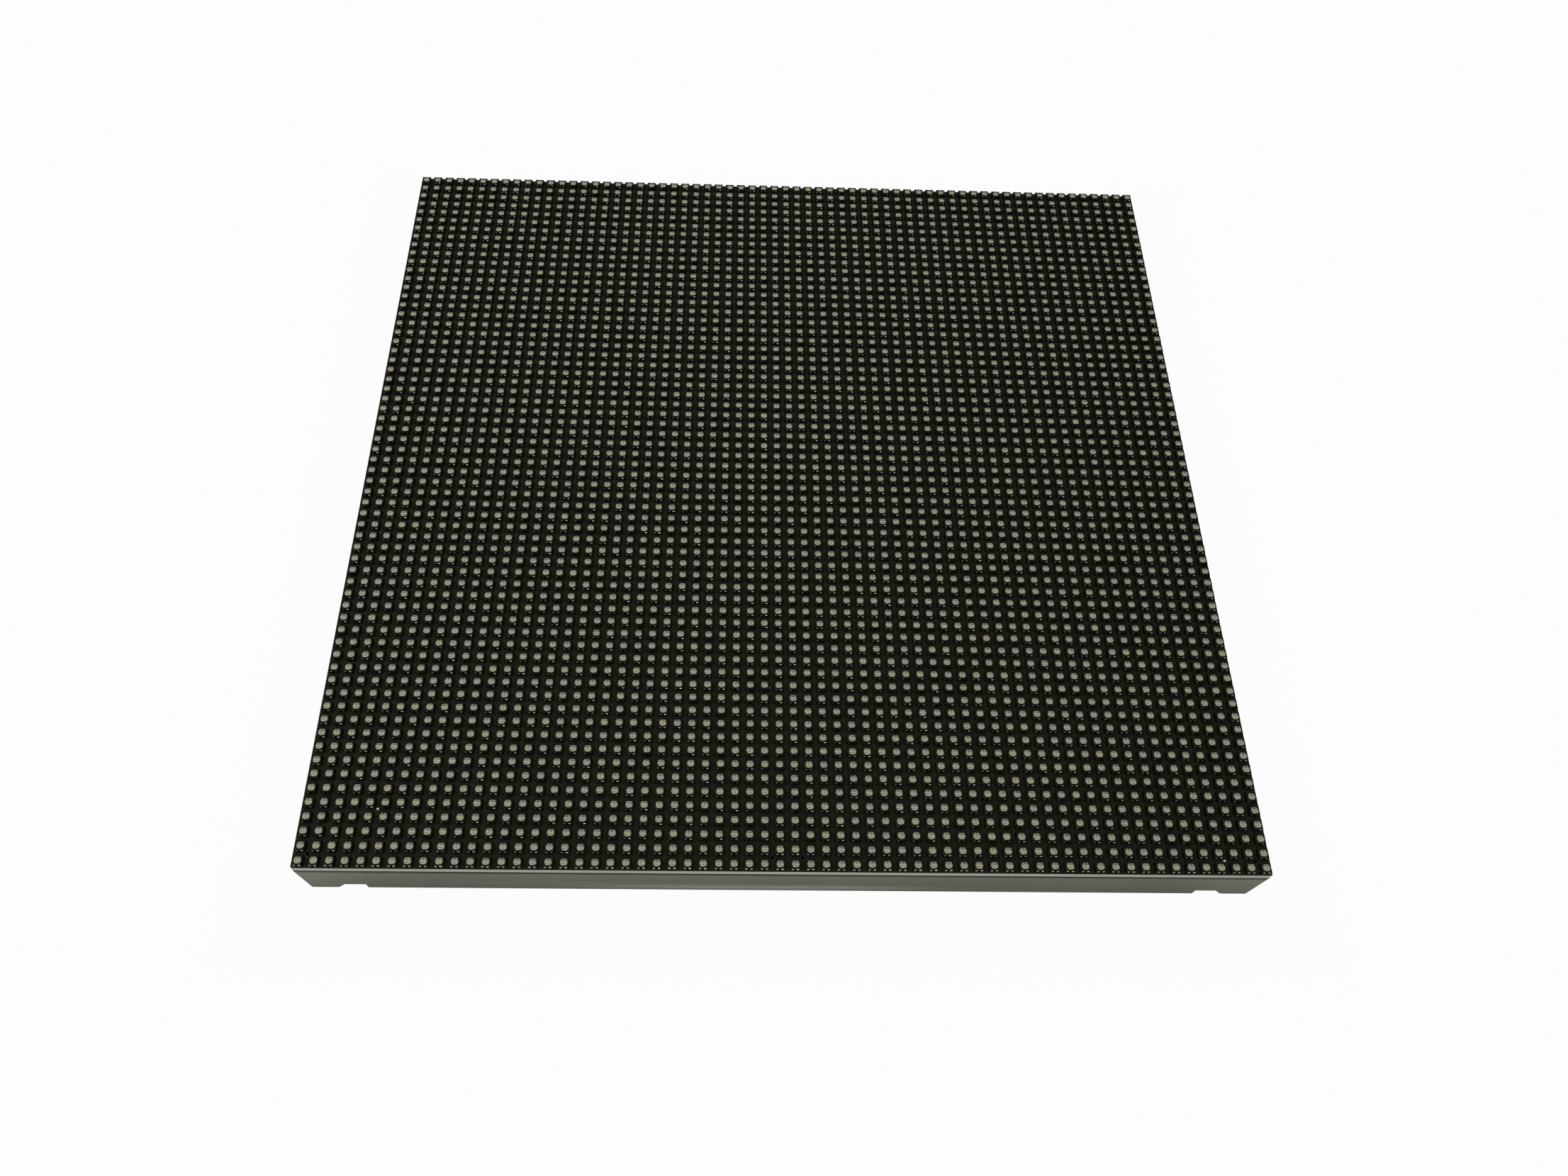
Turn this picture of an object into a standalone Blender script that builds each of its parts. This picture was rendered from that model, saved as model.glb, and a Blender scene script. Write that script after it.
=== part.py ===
"""RGB LED matrix panel, 64 by 64 pixels at 3 mm pitch, lying face up.

The black circuit board carries the LEDs on its front and the driver electronics on
its back. A moulded frame behind it stands the panel on its rear rim, holds the board
by six screws and takes the mounting screws in six brass inserts.

Frame of reference: +Z points out of the lit face, +X to the right, +Y away from the
front edge. The origin lies on the resting plane, under the middle of the panel.
All lengths are in metres.
"""

import math

import bmesh
import bpy
from mathutils import Matrix, Vector

MM = 0.001

# LED field
LED_PITCH = 3.0 * MM
LEDS_PER_SIDE = 64
LED_BODY = 2.1 * MM
LED_HEIGHT = 0.95 * MM

# Circuit board
BOARD_THICKNESS = 1.6 * MM
BOARD_EDGE_RELIEF = 0.1 * MM
TOOLING_HOLE_DIAMETER = 0.7 * MM

# Moulded rear frame
FRAME_DEPTH = 10.95 * MM
FRAME_WALL = 1.8 * MM
FRAME_DRAFT = 0.65 * MM
FRAME_CORNER_BEVEL = 0.4 * MM
RIM_WIDTH = 7.0 * MM
FLANGE_THICKNESS = 2.0 * MM
BAR_WIDTH = 8.0 * MM
BAR_WALL = 1.4 * MM
WINDOW_COLUMNS = 3
RIB_THICKNESS = 1.2 * MM
RIB_HEIGHT = 5.0 * MM
RIB_SETBACK = 0.6 * MM
GUSSETS_PER_WINDOW = 2
BOSS_OUTER_MARGIN = 1.0 * MM

# Notches in the bottom edge of the front and back walls
NOTCH_FROM_CENTRE = 83.8 * MM
NOTCH_TOP_WIDTH = 4.2 * MM
NOTCH_SLANT = 1.6 * MM
NOTCH_HEIGHT = 2.2 * MM
NOTCH_REACH = 3.0 * MM

# Bosses for the mounting inserts
INSERT_BOSS_DIAMETER = 8.4 * MM
INSERT_DIAMETER = 4.6 * MM
INSERT_LENGTH = 5.7 * MM
INSERT_BORE = 2.9 * MM
INSERT_RECESS = 0.15 * MM
INSERT_SPREAD_IN_LEDS = 40

# Bosses for the screws that hold the board
SCREW_BOSS_DIAMETER = 9.0 * MM
SCREW_BOSS_CORNER_INSET = 8.2 * MM
SCREW_HEAD_DIAMETER = 5.4 * MM
SCREW_HEAD_HEIGHT = 2.0 * MM
SCREW_HEAD_ROUND = 0.6 * MM
SCREW_SHANK_DIAMETER = 2.6 * MM
SCREW_HEAD_SINK = 0.7 * MM
SCREW_END_CLEARANCE = 1.0 * MM
SOLDER_NUT_DIAMETER = 5.0 * MM
SOLDER_NUT_HEIGHT = 2.8 * MM

# Data connectors, two rows of pins in a keyed shroud
DATA_PINS_PER_ROW = 8
DATA_PIN_PITCH = 2.54 * MM
DATA_PIN_SIZE = 0.64 * MM
DATA_PIN_HEIGHT = 7.6 * MM
DATA_SHROUD_END = 3.8 * MM
DATA_SHROUD_WIDTH = 8.9 * MM
DATA_SHROUD_HEIGHT = 9.1 * MM
DATA_SHROUD_WALL = 1.15 * MM
DATA_SHROUD_FLOOR = 2.4 * MM
DATA_KEY_WIDTH = 4.5 * MM
DATA_KEY_DEPTH = 5.2 * MM
DATA_RIM_CLEARANCE = 5.0 * MM
DATA_END_CLEARANCE = 8.0 * MM

# Power connector
POWER_PINS = 4
POWER_PIN_PITCH = 3.96 * MM
POWER_PIN_SIZE = 1.14 * MM
POWER_PIN_HEIGHT = 9.0 * MM
POWER_BASE_WIDTH = 8.4 * MM
POWER_BASE_HEIGHT = 3.4 * MM
POWER_LOCK_HEIGHT = 9.5 * MM
POWER_LOCK_THICKNESS = 1.3 * MM
POWER_LOCK_SLOT_WIDTH = 1.6 * MM
POWER_LOCK_SLOT_DEPTH = 4.0 * MM

# Leadless LED driver chips, in two rows of three groups
DRIVERS_PER_GROUP = 4
DRIVER_SIDE = 4.0 * MM
DRIVER_HEIGHT = 0.85 * MM
DRIVER_EDGE_BEVEL = 0.12 * MM
DRIVER_PITCH_IN_LEDS = 4
DRIVER_ROW_OFFSET = 24.0 * MM

# Leaded chips: row drivers and bus buffers
ROW_DRIVER_LENGTH = 9.9 * MM
ROW_DRIVER_WIDTH = 3.9 * MM
ROW_DRIVER_LEADS = 16
ROW_DRIVER_LEAD_REACH = 1.05 * MM
ROW_DRIVER_SPREAD = 18.0 * MM
BUFFER_LENGTH = 12.8 * MM
BUFFER_WIDTH = 7.5 * MM
BUFFER_LEADS = 20
BUFFER_LEAD_REACH = 1.4 * MM
BUFFER_SPREAD = 19.0 * MM
CHIP_HEIGHT = 1.5 * MM
CHIP_STANDOFF = 0.15 * MM
CHIP_SIDE_TAPER = 0.15 * MM
LEAD_PITCH = 1.27 * MM
LEAD_WIDTH = 0.42 * MM
LEAD_THICKNESS = 0.22 * MM
LEAD_FOOT = 0.5 * MM
LEAD_ROOT = 0.3 * MM

# Electrolytic capacitors
CAPACITOR_DIAMETER = 6.3 * MM
CAPACITOR_HEIGHT = 7.7 * MM
CAPACITOR_BASE_SIDE = 6.6 * MM
CAPACITOR_BASE_HEIGHT = 1.0 * MM
CAPACITOR_BASE_CHAMFER = 1.3 * MM
CAPACITOR_GROOVE_HEIGHT = 1.9 * MM
CAPACITOR_GROOVE_DEPTH = 0.35 * MM
CAPACITOR_TOP_ROUND = 0.5 * MM
CAPACITOR_COLUMN_SPREAD = 38.0 * MM
CAPACITOR_ROW_SPREAD = 22.0 * MM

# Clearances and fineness
CONTACT_GAP = 0.3 * MM
CUT_OVERRUN = 1.0 * MM
JOIN_OVERLAP = 0.5 * MM
MERGE_DISTANCE = 0.001 * MM
BOSS_SIDES = 24
SMALL_ROUND_SIDES = 16
HOLE_SIDES = 8

# Places worked out from the sizes above
FIELD_SIDE = LED_PITCH * LEDS_PER_SIDE
BOARD_SIDE = FIELD_SIDE - 2 * BOARD_EDGE_RELIEF
BOARD_BACK_Z = FRAME_DEPTH + CONTACT_GAP
BOARD_FRONT_Z = BOARD_BACK_Z + BOARD_THICKNESS
SEAT_Z = BOARD_BACK_Z - CONTACT_GAP
REAR_HALF = BOARD_SIDE / 2 - FRAME_DRAFT
WALL_INNER = REAR_HALF - FRAME_WALL
RIM_INNER = REAR_HALF - RIM_WIDTH

DATA_SHROUD_LENGTH = DATA_PIN_PITCH * DATA_PINS_PER_ROW + 2 * DATA_SHROUD_END
DATA_X = RIM_INNER - DATA_RIM_CLEARANCE - DATA_SHROUD_WIDTH / 2
DATA_INNER_X = DATA_X - DATA_SHROUD_WIDTH / 2
COLUMN_BAR_SPREAD = FIELD_SIDE / WINDOW_COLUMNS
COLUMN_BAR_X = COLUMN_BAR_SPREAD / 2
COLUMN_BAR_OUTER_X = COLUMN_BAR_X + BAR_WIDTH / 2
ROW_BAR_Y = DATA_SHROUD_LENGTH / 2 + DATA_END_CLEARANCE + BAR_WIDTH / 2
ROW_BAR_OUTER_Y = ROW_BAR_Y + BAR_WIDTH / 2
DRIVER_ROW_Y = ROW_BAR_OUTER_Y + DRIVER_ROW_OFFSET
DRIVER_PITCH = DRIVER_PITCH_IN_LEDS * LED_PITCH
SIDE_WINDOW_X = (COLUMN_BAR_OUTER_X + RIM_INNER) / 2

INSERT_SPREAD = INSERT_SPREAD_IN_LEDS * LED_PITCH
INSERT_BORE_IN_BOSS = INSERT_DIAMETER + 2 * CONTACT_GAP
INSERT_FROM_CENTRE = REAR_HALF - BOSS_OUTER_MARGIN - INSERT_BOSS_DIAMETER / 2
SCREW_CORNER = REAR_HALF - SCREW_BOSS_CORNER_INSET
SCREW_SEAT_Z = SCREW_HEAD_SINK + SCREW_HEAD_HEIGHT + CONTACT_GAP
SCREW_RECESS_DIAMETER = SCREW_HEAD_DIAMETER + 2 * CONTACT_GAP
SHANK_HOLE_DIAMETER = SCREW_SHANK_DIAMETER + 2 * CONTACT_GAP
NUT_POCKET_DIAMETER = SOLDER_NUT_DIAMETER + 2 * CONTACT_GAP
NUT_REAR_Z = SEAT_Z - SOLDER_NUT_HEIGHT

INSERT_PLACES = [
    (side_x * INSERT_SPREAD / 2, side_y * INSERT_FROM_CENTRE)
    for side_x in (-1, 1)
    for side_y in (-1, 1)
] + [(side_x * INSERT_FROM_CENTRE, 0.0) for side_x in (-1, 1)]
SCREW_PLACES = [
    (side_x * SCREW_CORNER, side_y * SCREW_CORNER) for side_x in (-1, 1) for side_y in (-1, 1)
] + [(0.0, side_y * ROW_BAR_Y) for side_y in (-1, 1)]


def clear_scene():
    for old in list(bpy.data.objects):
        bpy.data.objects.remove(old, do_unlink=True)


def new_collection(name):
    collection = bpy.data.collections.new(name)
    bpy.context.scene.collection.children.link(collection)
    return collection


def make_material(name, colour, roughness, metallic=0.0):
    material = bpy.data.materials.new(name)
    material.use_nodes = True
    shader = material.node_tree.nodes["Principled BSDF"]
    shader.inputs["Base Color"].default_value = (*colour, 1.0)
    shader.inputs["Roughness"].default_value = roughness
    shader.inputs["Metallic"].default_value = metallic
    material.diffuse_color = (*colour, 1.0)
    return material


def mesh_object(name, bm, collection, material=None):
    """Turns bmesh data into an object of the given collection."""
    mesh = bpy.data.meshes.new(name)
    bmesh.ops.recalc_face_normals(bm, faces=bm.faces)
    bm.to_mesh(mesh)
    bm.free()
    if material:
        mesh.materials.append(material)
    made = bpy.data.objects.new(name, mesh)
    collection.objects.link(made)
    return made


def as_tool(made):
    """Marks an object as a helper of the construction."""
    made.hide_render = True
    made.display_type = "WIRE"
    return made


def combine(target, tool, operation):
    """Joins a helper solid to the target or cuts it out of it."""
    modifier = target.modifiers.new(tool.name, "BOOLEAN")
    modifier.operation = operation
    modifier.solver = "EXACT"
    modifier.object = tool
    return modifier


def add_box(bm, low, high):
    """Adds a box between two corners and gives its vertices."""
    low, high = Vector(low), Vector(high)
    place = Matrix.Translation((low + high) / 2) @ Matrix.Diagonal((*(high - low), 1.0))
    return bmesh.ops.create_cube(bm, size=1.0, matrix=place)["verts"]


def add_cylinder(bm, centre, diameter, low_z, high_z, sides):
    """Adds an upright cylinder between two heights."""
    place = Matrix.Translation((*centre, (low_z + high_z) / 2))
    bmesh.ops.create_cone(
        bm,
        cap_ends=True,
        segments=sides,
        radius1=diameter / 2,
        radius2=diameter / 2,
        depth=high_z - low_z,
        matrix=place,
    )


def extruded_outline(name, points, thickness, collection):
    """A closed flat outline in the curve's XY plane, thickened evenly both ways, as a mesh."""
    curve = bpy.data.curves.new(name, "CURVE")
    curve.dimensions = "2D"
    curve.fill_mode = "BOTH"
    curve.extrude = thickness / 2
    spline = curve.splines.new("POLY")
    spline.points.add(len(points) - 1)
    for spline_point, (x, y) in zip(spline.points, points):
        spline_point.co = (x, y, 0.0, 1.0)
    spline.use_cyclic_u = True
    drawn = bpy.data.objects.new(name, curve)
    collection.objects.link(drawn)
    bpy.context.view_layer.update()
    graph = bpy.context.evaluated_depsgraph_get()
    mesh = bpy.data.meshes.new_from_object(drawn.evaluated_get(graph))
    bpy.data.objects.remove(drawn, do_unlink=True)
    bm = bmesh.new()
    bm.from_mesh(mesh)
    bpy.data.meshes.remove(mesh)
    bmesh.ops.remove_doubles(bm, verts=bm.verts, dist=MERGE_DISTANCE)
    return bm


def turned_object(name, profile, sides, collection, material=None, closed=False):
    """Turns a profile of (radius, height) points round the Z axis."""
    bm = bmesh.new()
    points = [bm.verts.new((radius, 0.0, height)) for radius, height in profile]
    for start, end in zip(points, points[1:]):
        bm.edges.new((start, end))
    if closed:
        bm.edges.new((points[-1], points[0]))
    mesh = bpy.data.meshes.new(name)
    bm.to_mesh(mesh)
    bm.free()
    if material:
        mesh.materials.append(material)
    made = bpy.data.objects.new(name, mesh)
    collection.objects.link(made)
    screw = made.modifiers.new("turn", "SCREW")
    screw.steps = sides
    screw.render_steps = sides
    screw.use_merge_vertices = True
    screw.merge_threshold = MERGE_DISTANCE
    screw.use_smooth_shade = False
    return made


def on_board_back(made, x, y, turn=0.0):
    """Hangs a component, modelled with its foot at zero, from the back of the board."""
    made.location = (x, y, SEAT_Z)
    made.rotation_euler = (math.pi, 0.0, turn)
    return made


def arc(centre, radius, start, end, steps):
    """Points on an arc in a profile, angles in degrees."""
    angles = [math.radians(start + (end - start) * step / steps) for step in range(steps + 1)]
    return [(centre[0] + radius * math.cos(a), centre[1] + radius * math.sin(a)) for a in angles]


def make_led_board(parts, tools, material):
    """The circuit board with its 64 rows of LED packages standing on it."""
    bm = bmesh.new()
    half = BOARD_SIDE / 2
    add_box(bm, (-half, -half, BOARD_BACK_Z), (half, half, BOARD_FRONT_Z))
    board = mesh_object("led_board", bm, parts, material)

    row_half = (LEDS_PER_SIDE - 1) * LED_PITCH / 2
    ridge_end = row_half + LED_BODY / 2
    bm = bmesh.new()
    add_box(
        bm,
        (-ridge_end, -row_half - LED_BODY / 2, BOARD_FRONT_Z - JOIN_OVERLAP),
        (ridge_end, -row_half + LED_BODY / 2, BOARD_FRONT_Z + LED_HEIGHT),
    )
    rows = as_tool(mesh_object("led_rows", bm, tools))
    array = rows.modifiers.new("rows", "ARRAY")
    array.count = LEDS_PER_SIDE
    array.use_relative_offset = False
    array.use_constant_offset = True
    array.constant_offset_displace = (0.0, LED_PITCH, 0.0)
    combine(board, rows, "UNION")

    first_gap = FIELD_SIDE / 2 - LED_PITCH
    places = [(side_x * first_gap, side_y * first_gap) for side_x in (-1, 1) for side_y in (-1, 1)]
    places += [(side_x * LED_PITCH, -first_gap) for side_x in (-1, 1)]
    bm = bmesh.new()
    for place in places:
        add_cylinder(
            bm,
            place,
            TOOLING_HOLE_DIAMETER,
            BOARD_BACK_Z - CUT_OVERRUN,
            BOARD_FRONT_Z + CUT_OVERRUN,
            HOLE_SIDES,
        )
    holes = as_tool(mesh_object("tooling_holes", bm, tools))
    combine(board, holes, "DIFFERENCE")
    return board


def drafted_block(parts, material):
    """The frame's outer block, narrower at the rear by the moulding draft."""
    bm = bmesh.new()
    half = BOARD_SIDE / 2
    add_box(bm, (-half, -half, 0.0), (half, half, FRAME_DEPTH))
    for vert in bm.verts:
        if vert.co.z < FRAME_DEPTH / 2:
            vert.co.x *= REAR_HALF / half
            vert.co.y *= REAR_HALF / half
    upright = [
        edge
        for edge in bm.edges
        if abs(edge.verts[0].co.z - edge.verts[1].co.z) > FRAME_DEPTH / 2
    ]
    bmesh.ops.bevel(
        bm,
        geom=upright,
        offset=FRAME_CORNER_BEVEL,
        segments=2,
        profile=0.5,
        affect="EDGES",
        clamp_overlap=True,
    )
    return mesh_object("rear_frame", bm, parts, material)


def notch_outline(side):
    """A notch seen along Y: upright on its inner side, slanted on its outer side."""
    inner = side * NOTCH_FROM_CENTRE
    outer_top = side * (NOTCH_FROM_CENTRE + NOTCH_TOP_WIDTH)
    slope = NOTCH_SLANT / NOTCH_HEIGHT
    outer_bottom = side * (NOTCH_FROM_CENTRE + NOTCH_TOP_WIDTH + slope * (NOTCH_HEIGHT + CUT_OVERRUN))
    return [
        (inner, -CUT_OVERRUN),
        (outer_bottom, -CUT_OVERRUN),
        (outer_top, NOTCH_HEIGHT),
        (inner, NOTCH_HEIGHT),
    ]


def window_spans(bar_centre):
    """The three windows along one direction, as stretches between rims and bars."""
    inner, outer = bar_centre - BAR_WIDTH / 2, bar_centre + BAR_WIDTH / 2
    return [(-RIM_INNER, -outer), (-inner, inner), (outer, RIM_INNER)]


def add_gussets(bm, tools):
    """Sloping ribs that brace the walls against the rear rim, in each window."""
    root, top = FLANGE_THICKNESS - JOIN_OVERLAP, FLANGE_THICKNESS + RIB_HEIGHT
    outline = [
        (WALL_INNER + JOIN_OVERLAP, root),
        (WALL_INNER + JOIN_OVERLAP, top),
        (WALL_INNER - RIB_SETBACK, top),
        (RIM_INNER + RIB_SETBACK, FLANGE_THICKNESS + RIB_SETBACK),
        (RIM_INNER + RIB_SETBACK, root),
    ]
    rib = extruded_outline("gusset", outline, RIB_THICKNESS, tools)
    bmesh.ops.transform(rib, matrix=Matrix.Rotation(math.pi / 2, 4, "X"), verts=rib.verts)
    source = bpy.data.meshes.new("gusset")
    rib.to_mesh(source)
    rib.free()
    for quarter, bar_centre in enumerate((ROW_BAR_Y, COLUMN_BAR_X, ROW_BAR_Y, COLUMN_BAR_X)):
        for low, high in window_spans(bar_centre):
            for index in range(GUSSETS_PER_WINDOW):
                along = low + (high - low) * (index + 1) / (GUSSETS_PER_WINDOW + 1)
                before = len(bm.verts)
                bm.from_mesh(source)
                bm.verts.ensure_lookup_table()
                turn = Matrix.Rotation(quarter * math.pi / 2, 4, "Z")
                move = turn @ Matrix.Translation((0.0, along, 0.0))
                bmesh.ops.transform(bm, matrix=move, verts=bm.verts[before:])
    bpy.data.meshes.remove(source)


def add_corner_webs(bm):
    """Upright ribs that tie each corner boss to the two walls beside it."""
    low_z, high_z = FLANGE_THICKNESS - JOIN_OVERLAP, FLANGE_THICKNESS + RIB_HEIGHT
    start, end = SCREW_CORNER + SCREW_BOSS_DIAMETER / 4, WALL_INNER + JOIN_OVERLAP
    side, other = SCREW_CORNER - RIB_THICKNESS / 2, SCREW_CORNER + RIB_THICKNESS / 2
    for quarter in range(4):
        turn = Matrix.Rotation(quarter * math.pi / 2, 4, "Z")
        webs = add_box(bm, (start, side, low_z), (end, other, high_z))
        webs += add_box(bm, (side, start, low_z), (other, end, high_z))
        bmesh.ops.transform(bm, matrix=turn, verts=webs)


def make_rear_frame(parts, tools, material):
    """The moulded frame: drafted walls, a rear rim, channel bars, bosses and notches."""
    frame = drafted_block(parts, material)
    above = FRAME_DEPTH + CUT_OVERRUN

    bm = bmesh.new()
    add_box(
        bm,
        (-WALL_INNER, -WALL_INNER, FLANGE_THICKNESS),
        (WALL_INNER, WALL_INNER, above),
    )
    combine(frame, as_tool(mesh_object("frame_pocket", bm, tools)), "DIFFERENCE")

    bm = bmesh.new()
    add_box(
        bm,
        (-RIM_INNER, -RIM_INNER, -CUT_OVERRUN),
        (RIM_INNER, RIM_INNER, FLANGE_THICKNESS + CUT_OVERRUN),
    )
    combine(frame, as_tool(mesh_object("frame_opening", bm, tools)), "DIFFERENCE")

    reach = WALL_INNER + FRAME_WALL / 2
    bm = bmesh.new()
    for side in (-1, 1):
        add_box(
            bm,
            (side * COLUMN_BAR_X - BAR_WIDTH / 2, -reach, 0.0),
            (side * COLUMN_BAR_X + BAR_WIDTH / 2, reach, FRAME_DEPTH),
        )
    combine(frame, as_tool(mesh_object("column_bars", bm, tools)), "UNION")

    bm = bmesh.new()
    for side in (-1, 1):
        add_box(
            bm,
            (-reach, side * ROW_BAR_Y - BAR_WIDTH / 2, 0.0),
            (reach, side * ROW_BAR_Y + BAR_WIDTH / 2, FRAME_DEPTH),
        )
    combine(frame, as_tool(mesh_object("row_bars", bm, tools)), "UNION")

    slot = BAR_WIDTH / 2 - BAR_WALL
    bm = bmesh.new()
    for side in (-1, 1):
        add_box(
            bm,
            (side * COLUMN_BAR_X - slot, -WALL_INNER, FLANGE_THICKNESS),
            (side * COLUMN_BAR_X + slot, WALL_INNER, above),
        )
    combine(frame, as_tool(mesh_object("column_channels", bm, tools)), "DIFFERENCE")

    bm = bmesh.new()
    for side in (-1, 1):
        add_box(
            bm,
            (-WALL_INNER, side * ROW_BAR_Y - slot, FLANGE_THICKNESS),
            (WALL_INNER, side * ROW_BAR_Y + slot, above),
        )
    combine(frame, as_tool(mesh_object("row_channels", bm, tools)), "DIFFERENCE")

    bm = bmesh.new()
    add_gussets(bm, tools)
    combine(frame, as_tool(mesh_object("gussets", bm, tools)), "UNION")

    bm = bmesh.new()
    add_corner_webs(bm)
    combine(frame, as_tool(mesh_object("corner_webs", bm, tools)), "UNION")

    bm = bmesh.new()
    for place in INSERT_PLACES:
        add_cylinder(bm, place, INSERT_BOSS_DIAMETER, 0.0, FRAME_DEPTH, BOSS_SIDES)
    for place in SCREW_PLACES:
        add_cylinder(bm, place, SCREW_BOSS_DIAMETER, 0.0, FRAME_DEPTH, BOSS_SIDES)
    combine(frame, as_tool(mesh_object("bosses", bm, tools)), "UNION")

    insert_floor = INSERT_RECESS + INSERT_LENGTH + CONTACT_GAP
    bm = bmesh.new()
    for place in INSERT_PLACES:
        add_cylinder(bm, place, INSERT_BORE_IN_BOSS, -CUT_OVERRUN, insert_floor, SMALL_ROUND_SIDES)
    for place in SCREW_PLACES:
        add_cylinder(bm, place, SCREW_RECESS_DIAMETER, -CUT_OVERRUN, SCREW_SEAT_Z, BOSS_SIDES)
    combine(frame, as_tool(mesh_object("rear_bores", bm, tools)), "DIFFERENCE")

    bm = bmesh.new()
    for place in SCREW_PLACES:
        add_cylinder(bm, place, SHANK_HOLE_DIAMETER, 0.0, above, SMALL_ROUND_SIDES)
    combine(frame, as_tool(mesh_object("shank_holes", bm, tools)), "DIFFERENCE")

    bm = bmesh.new()
    for place in SCREW_PLACES:
        add_cylinder(bm, place, NUT_POCKET_DIAMETER, NUT_REAR_Z - CONTACT_GAP, above, BOSS_SIDES)
    combine(frame, as_tool(mesh_object("nut_pockets", bm, tools)), "DIFFERENCE")

    for wall in (-1, 1):
        for side in (-1, 1):
            bm = extruded_outline("notch", notch_outline(side), 2 * NOTCH_REACH, tools)
            stand = Matrix.Translation((0.0, wall * REAR_HALF, 0.0)) @ Matrix.Rotation(math.pi / 2, 4, "X")
            bmesh.ops.transform(bm, matrix=stand, verts=bm.verts)
            combine(frame, as_tool(mesh_object("notch", bm, tools)), "DIFFERENCE")
    return frame


def make_insert(name, place, parts, material):
    """A brass mounting insert, a plain-bored sleeve set in its boss."""
    outer, bore = INSERT_DIAMETER / 2, INSERT_BORE / 2
    low, high = INSERT_RECESS, INSERT_RECESS + INSERT_LENGTH
    profile = [(outer, high), (outer, low), (bore, low), (bore, high)]
    made = turned_object(name, profile, SMALL_ROUND_SIDES, parts, material, closed=True)
    made.location = (*place, 0.0)
    return made


def make_frame_screw(name, place, parts, material):
    """A pan-head screw, its head towards the rear and its end inside the soldered nut."""
    head, shank = SCREW_HEAD_DIAMETER / 2, SCREW_SHANK_DIAMETER / 2
    seat = SCREW_SEAT_Z - CONTACT_GAP
    end = SEAT_Z - SCREW_END_CLEARANCE
    profile = [(0.0, end), (shank, end), (shank, seat), (head, seat)]
    round_centre = (head - SCREW_HEAD_ROUND, SCREW_HEAD_SINK + SCREW_HEAD_ROUND)
    profile += arc(round_centre, SCREW_HEAD_ROUND, 0.0, -90.0, 2)
    profile.append((0.0, SCREW_HEAD_SINK))
    made = turned_object(name, profile, SMALL_ROUND_SIDES, parts, material)
    made.location = (*place, 0.0)
    return made


def make_solder_nut(name, place, parts, material):
    """A round nut soldered to the board's back, which takes a frame screw."""
    outer, bore = SOLDER_NUT_DIAMETER / 2, SHANK_HOLE_DIAMETER / 2
    profile = [(outer, SEAT_Z), (outer, NUT_REAR_Z), (bore, NUT_REAR_Z), (bore, SEAT_Z)]
    made = turned_object(name, profile, SMALL_ROUND_SIDES, parts, material, closed=True)
    made.location = (*place, 0.0)
    return made


def make_data_header(name, side, parts, tools, material):
    """A keyed box header: shroud, floor and two rows of square pins."""
    half_length, half_width = DATA_SHROUD_LENGTH / 2, DATA_SHROUD_WIDTH / 2
    bm = bmesh.new()
    add_box(bm, (-half_width, -half_length, 0.0), (half_width, half_length, DATA_SHROUD_HEIGHT))
    header = mesh_object(name, bm, parts, material)

    top = DATA_SHROUD_HEIGHT + CUT_OVERRUN
    cavity_x, cavity_y = half_width - DATA_SHROUD_WALL, half_length - DATA_SHROUD_WALL
    bm = bmesh.new()
    add_box(bm, (-cavity_x, -cavity_y, DATA_SHROUD_FLOOR), (cavity_x, cavity_y, top))
    cavity = as_tool(mesh_object(name + "_cavity", bm, tools))
    combine(header, cavity, "DIFFERENCE")

    bm = bmesh.new()
    key_floor = DATA_SHROUD_HEIGHT - DATA_KEY_DEPTH
    add_box(
        bm,
        (0.0, -DATA_KEY_WIDTH / 2, key_floor),
        (half_width + CUT_OVERRUN, DATA_KEY_WIDTH / 2, top),
    )
    key = as_tool(mesh_object(name + "_key", bm, tools))
    combine(header, key, "DIFFERENCE")

    bm = bmesh.new()
    half_pin = DATA_PIN_SIZE / 2
    for row in (-0.5, 0.5):
        for index in range(DATA_PINS_PER_ROW):
            x = row * DATA_PIN_PITCH
            y = (index - (DATA_PINS_PER_ROW - 1) / 2) * DATA_PIN_PITCH
            add_box(
                bm,
                (x - half_pin, y - half_pin, DATA_SHROUD_FLOOR - JOIN_OVERLAP),
                (x + half_pin, y + half_pin, DATA_PIN_HEIGHT),
            )
    pins = as_tool(mesh_object(name + "_pins", bm, tools))
    combine(header, pins, "UNION")

    for piece in (header, cavity, key, pins):
        on_board_back(piece, side * DATA_X, 0.0)
    return header


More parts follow.
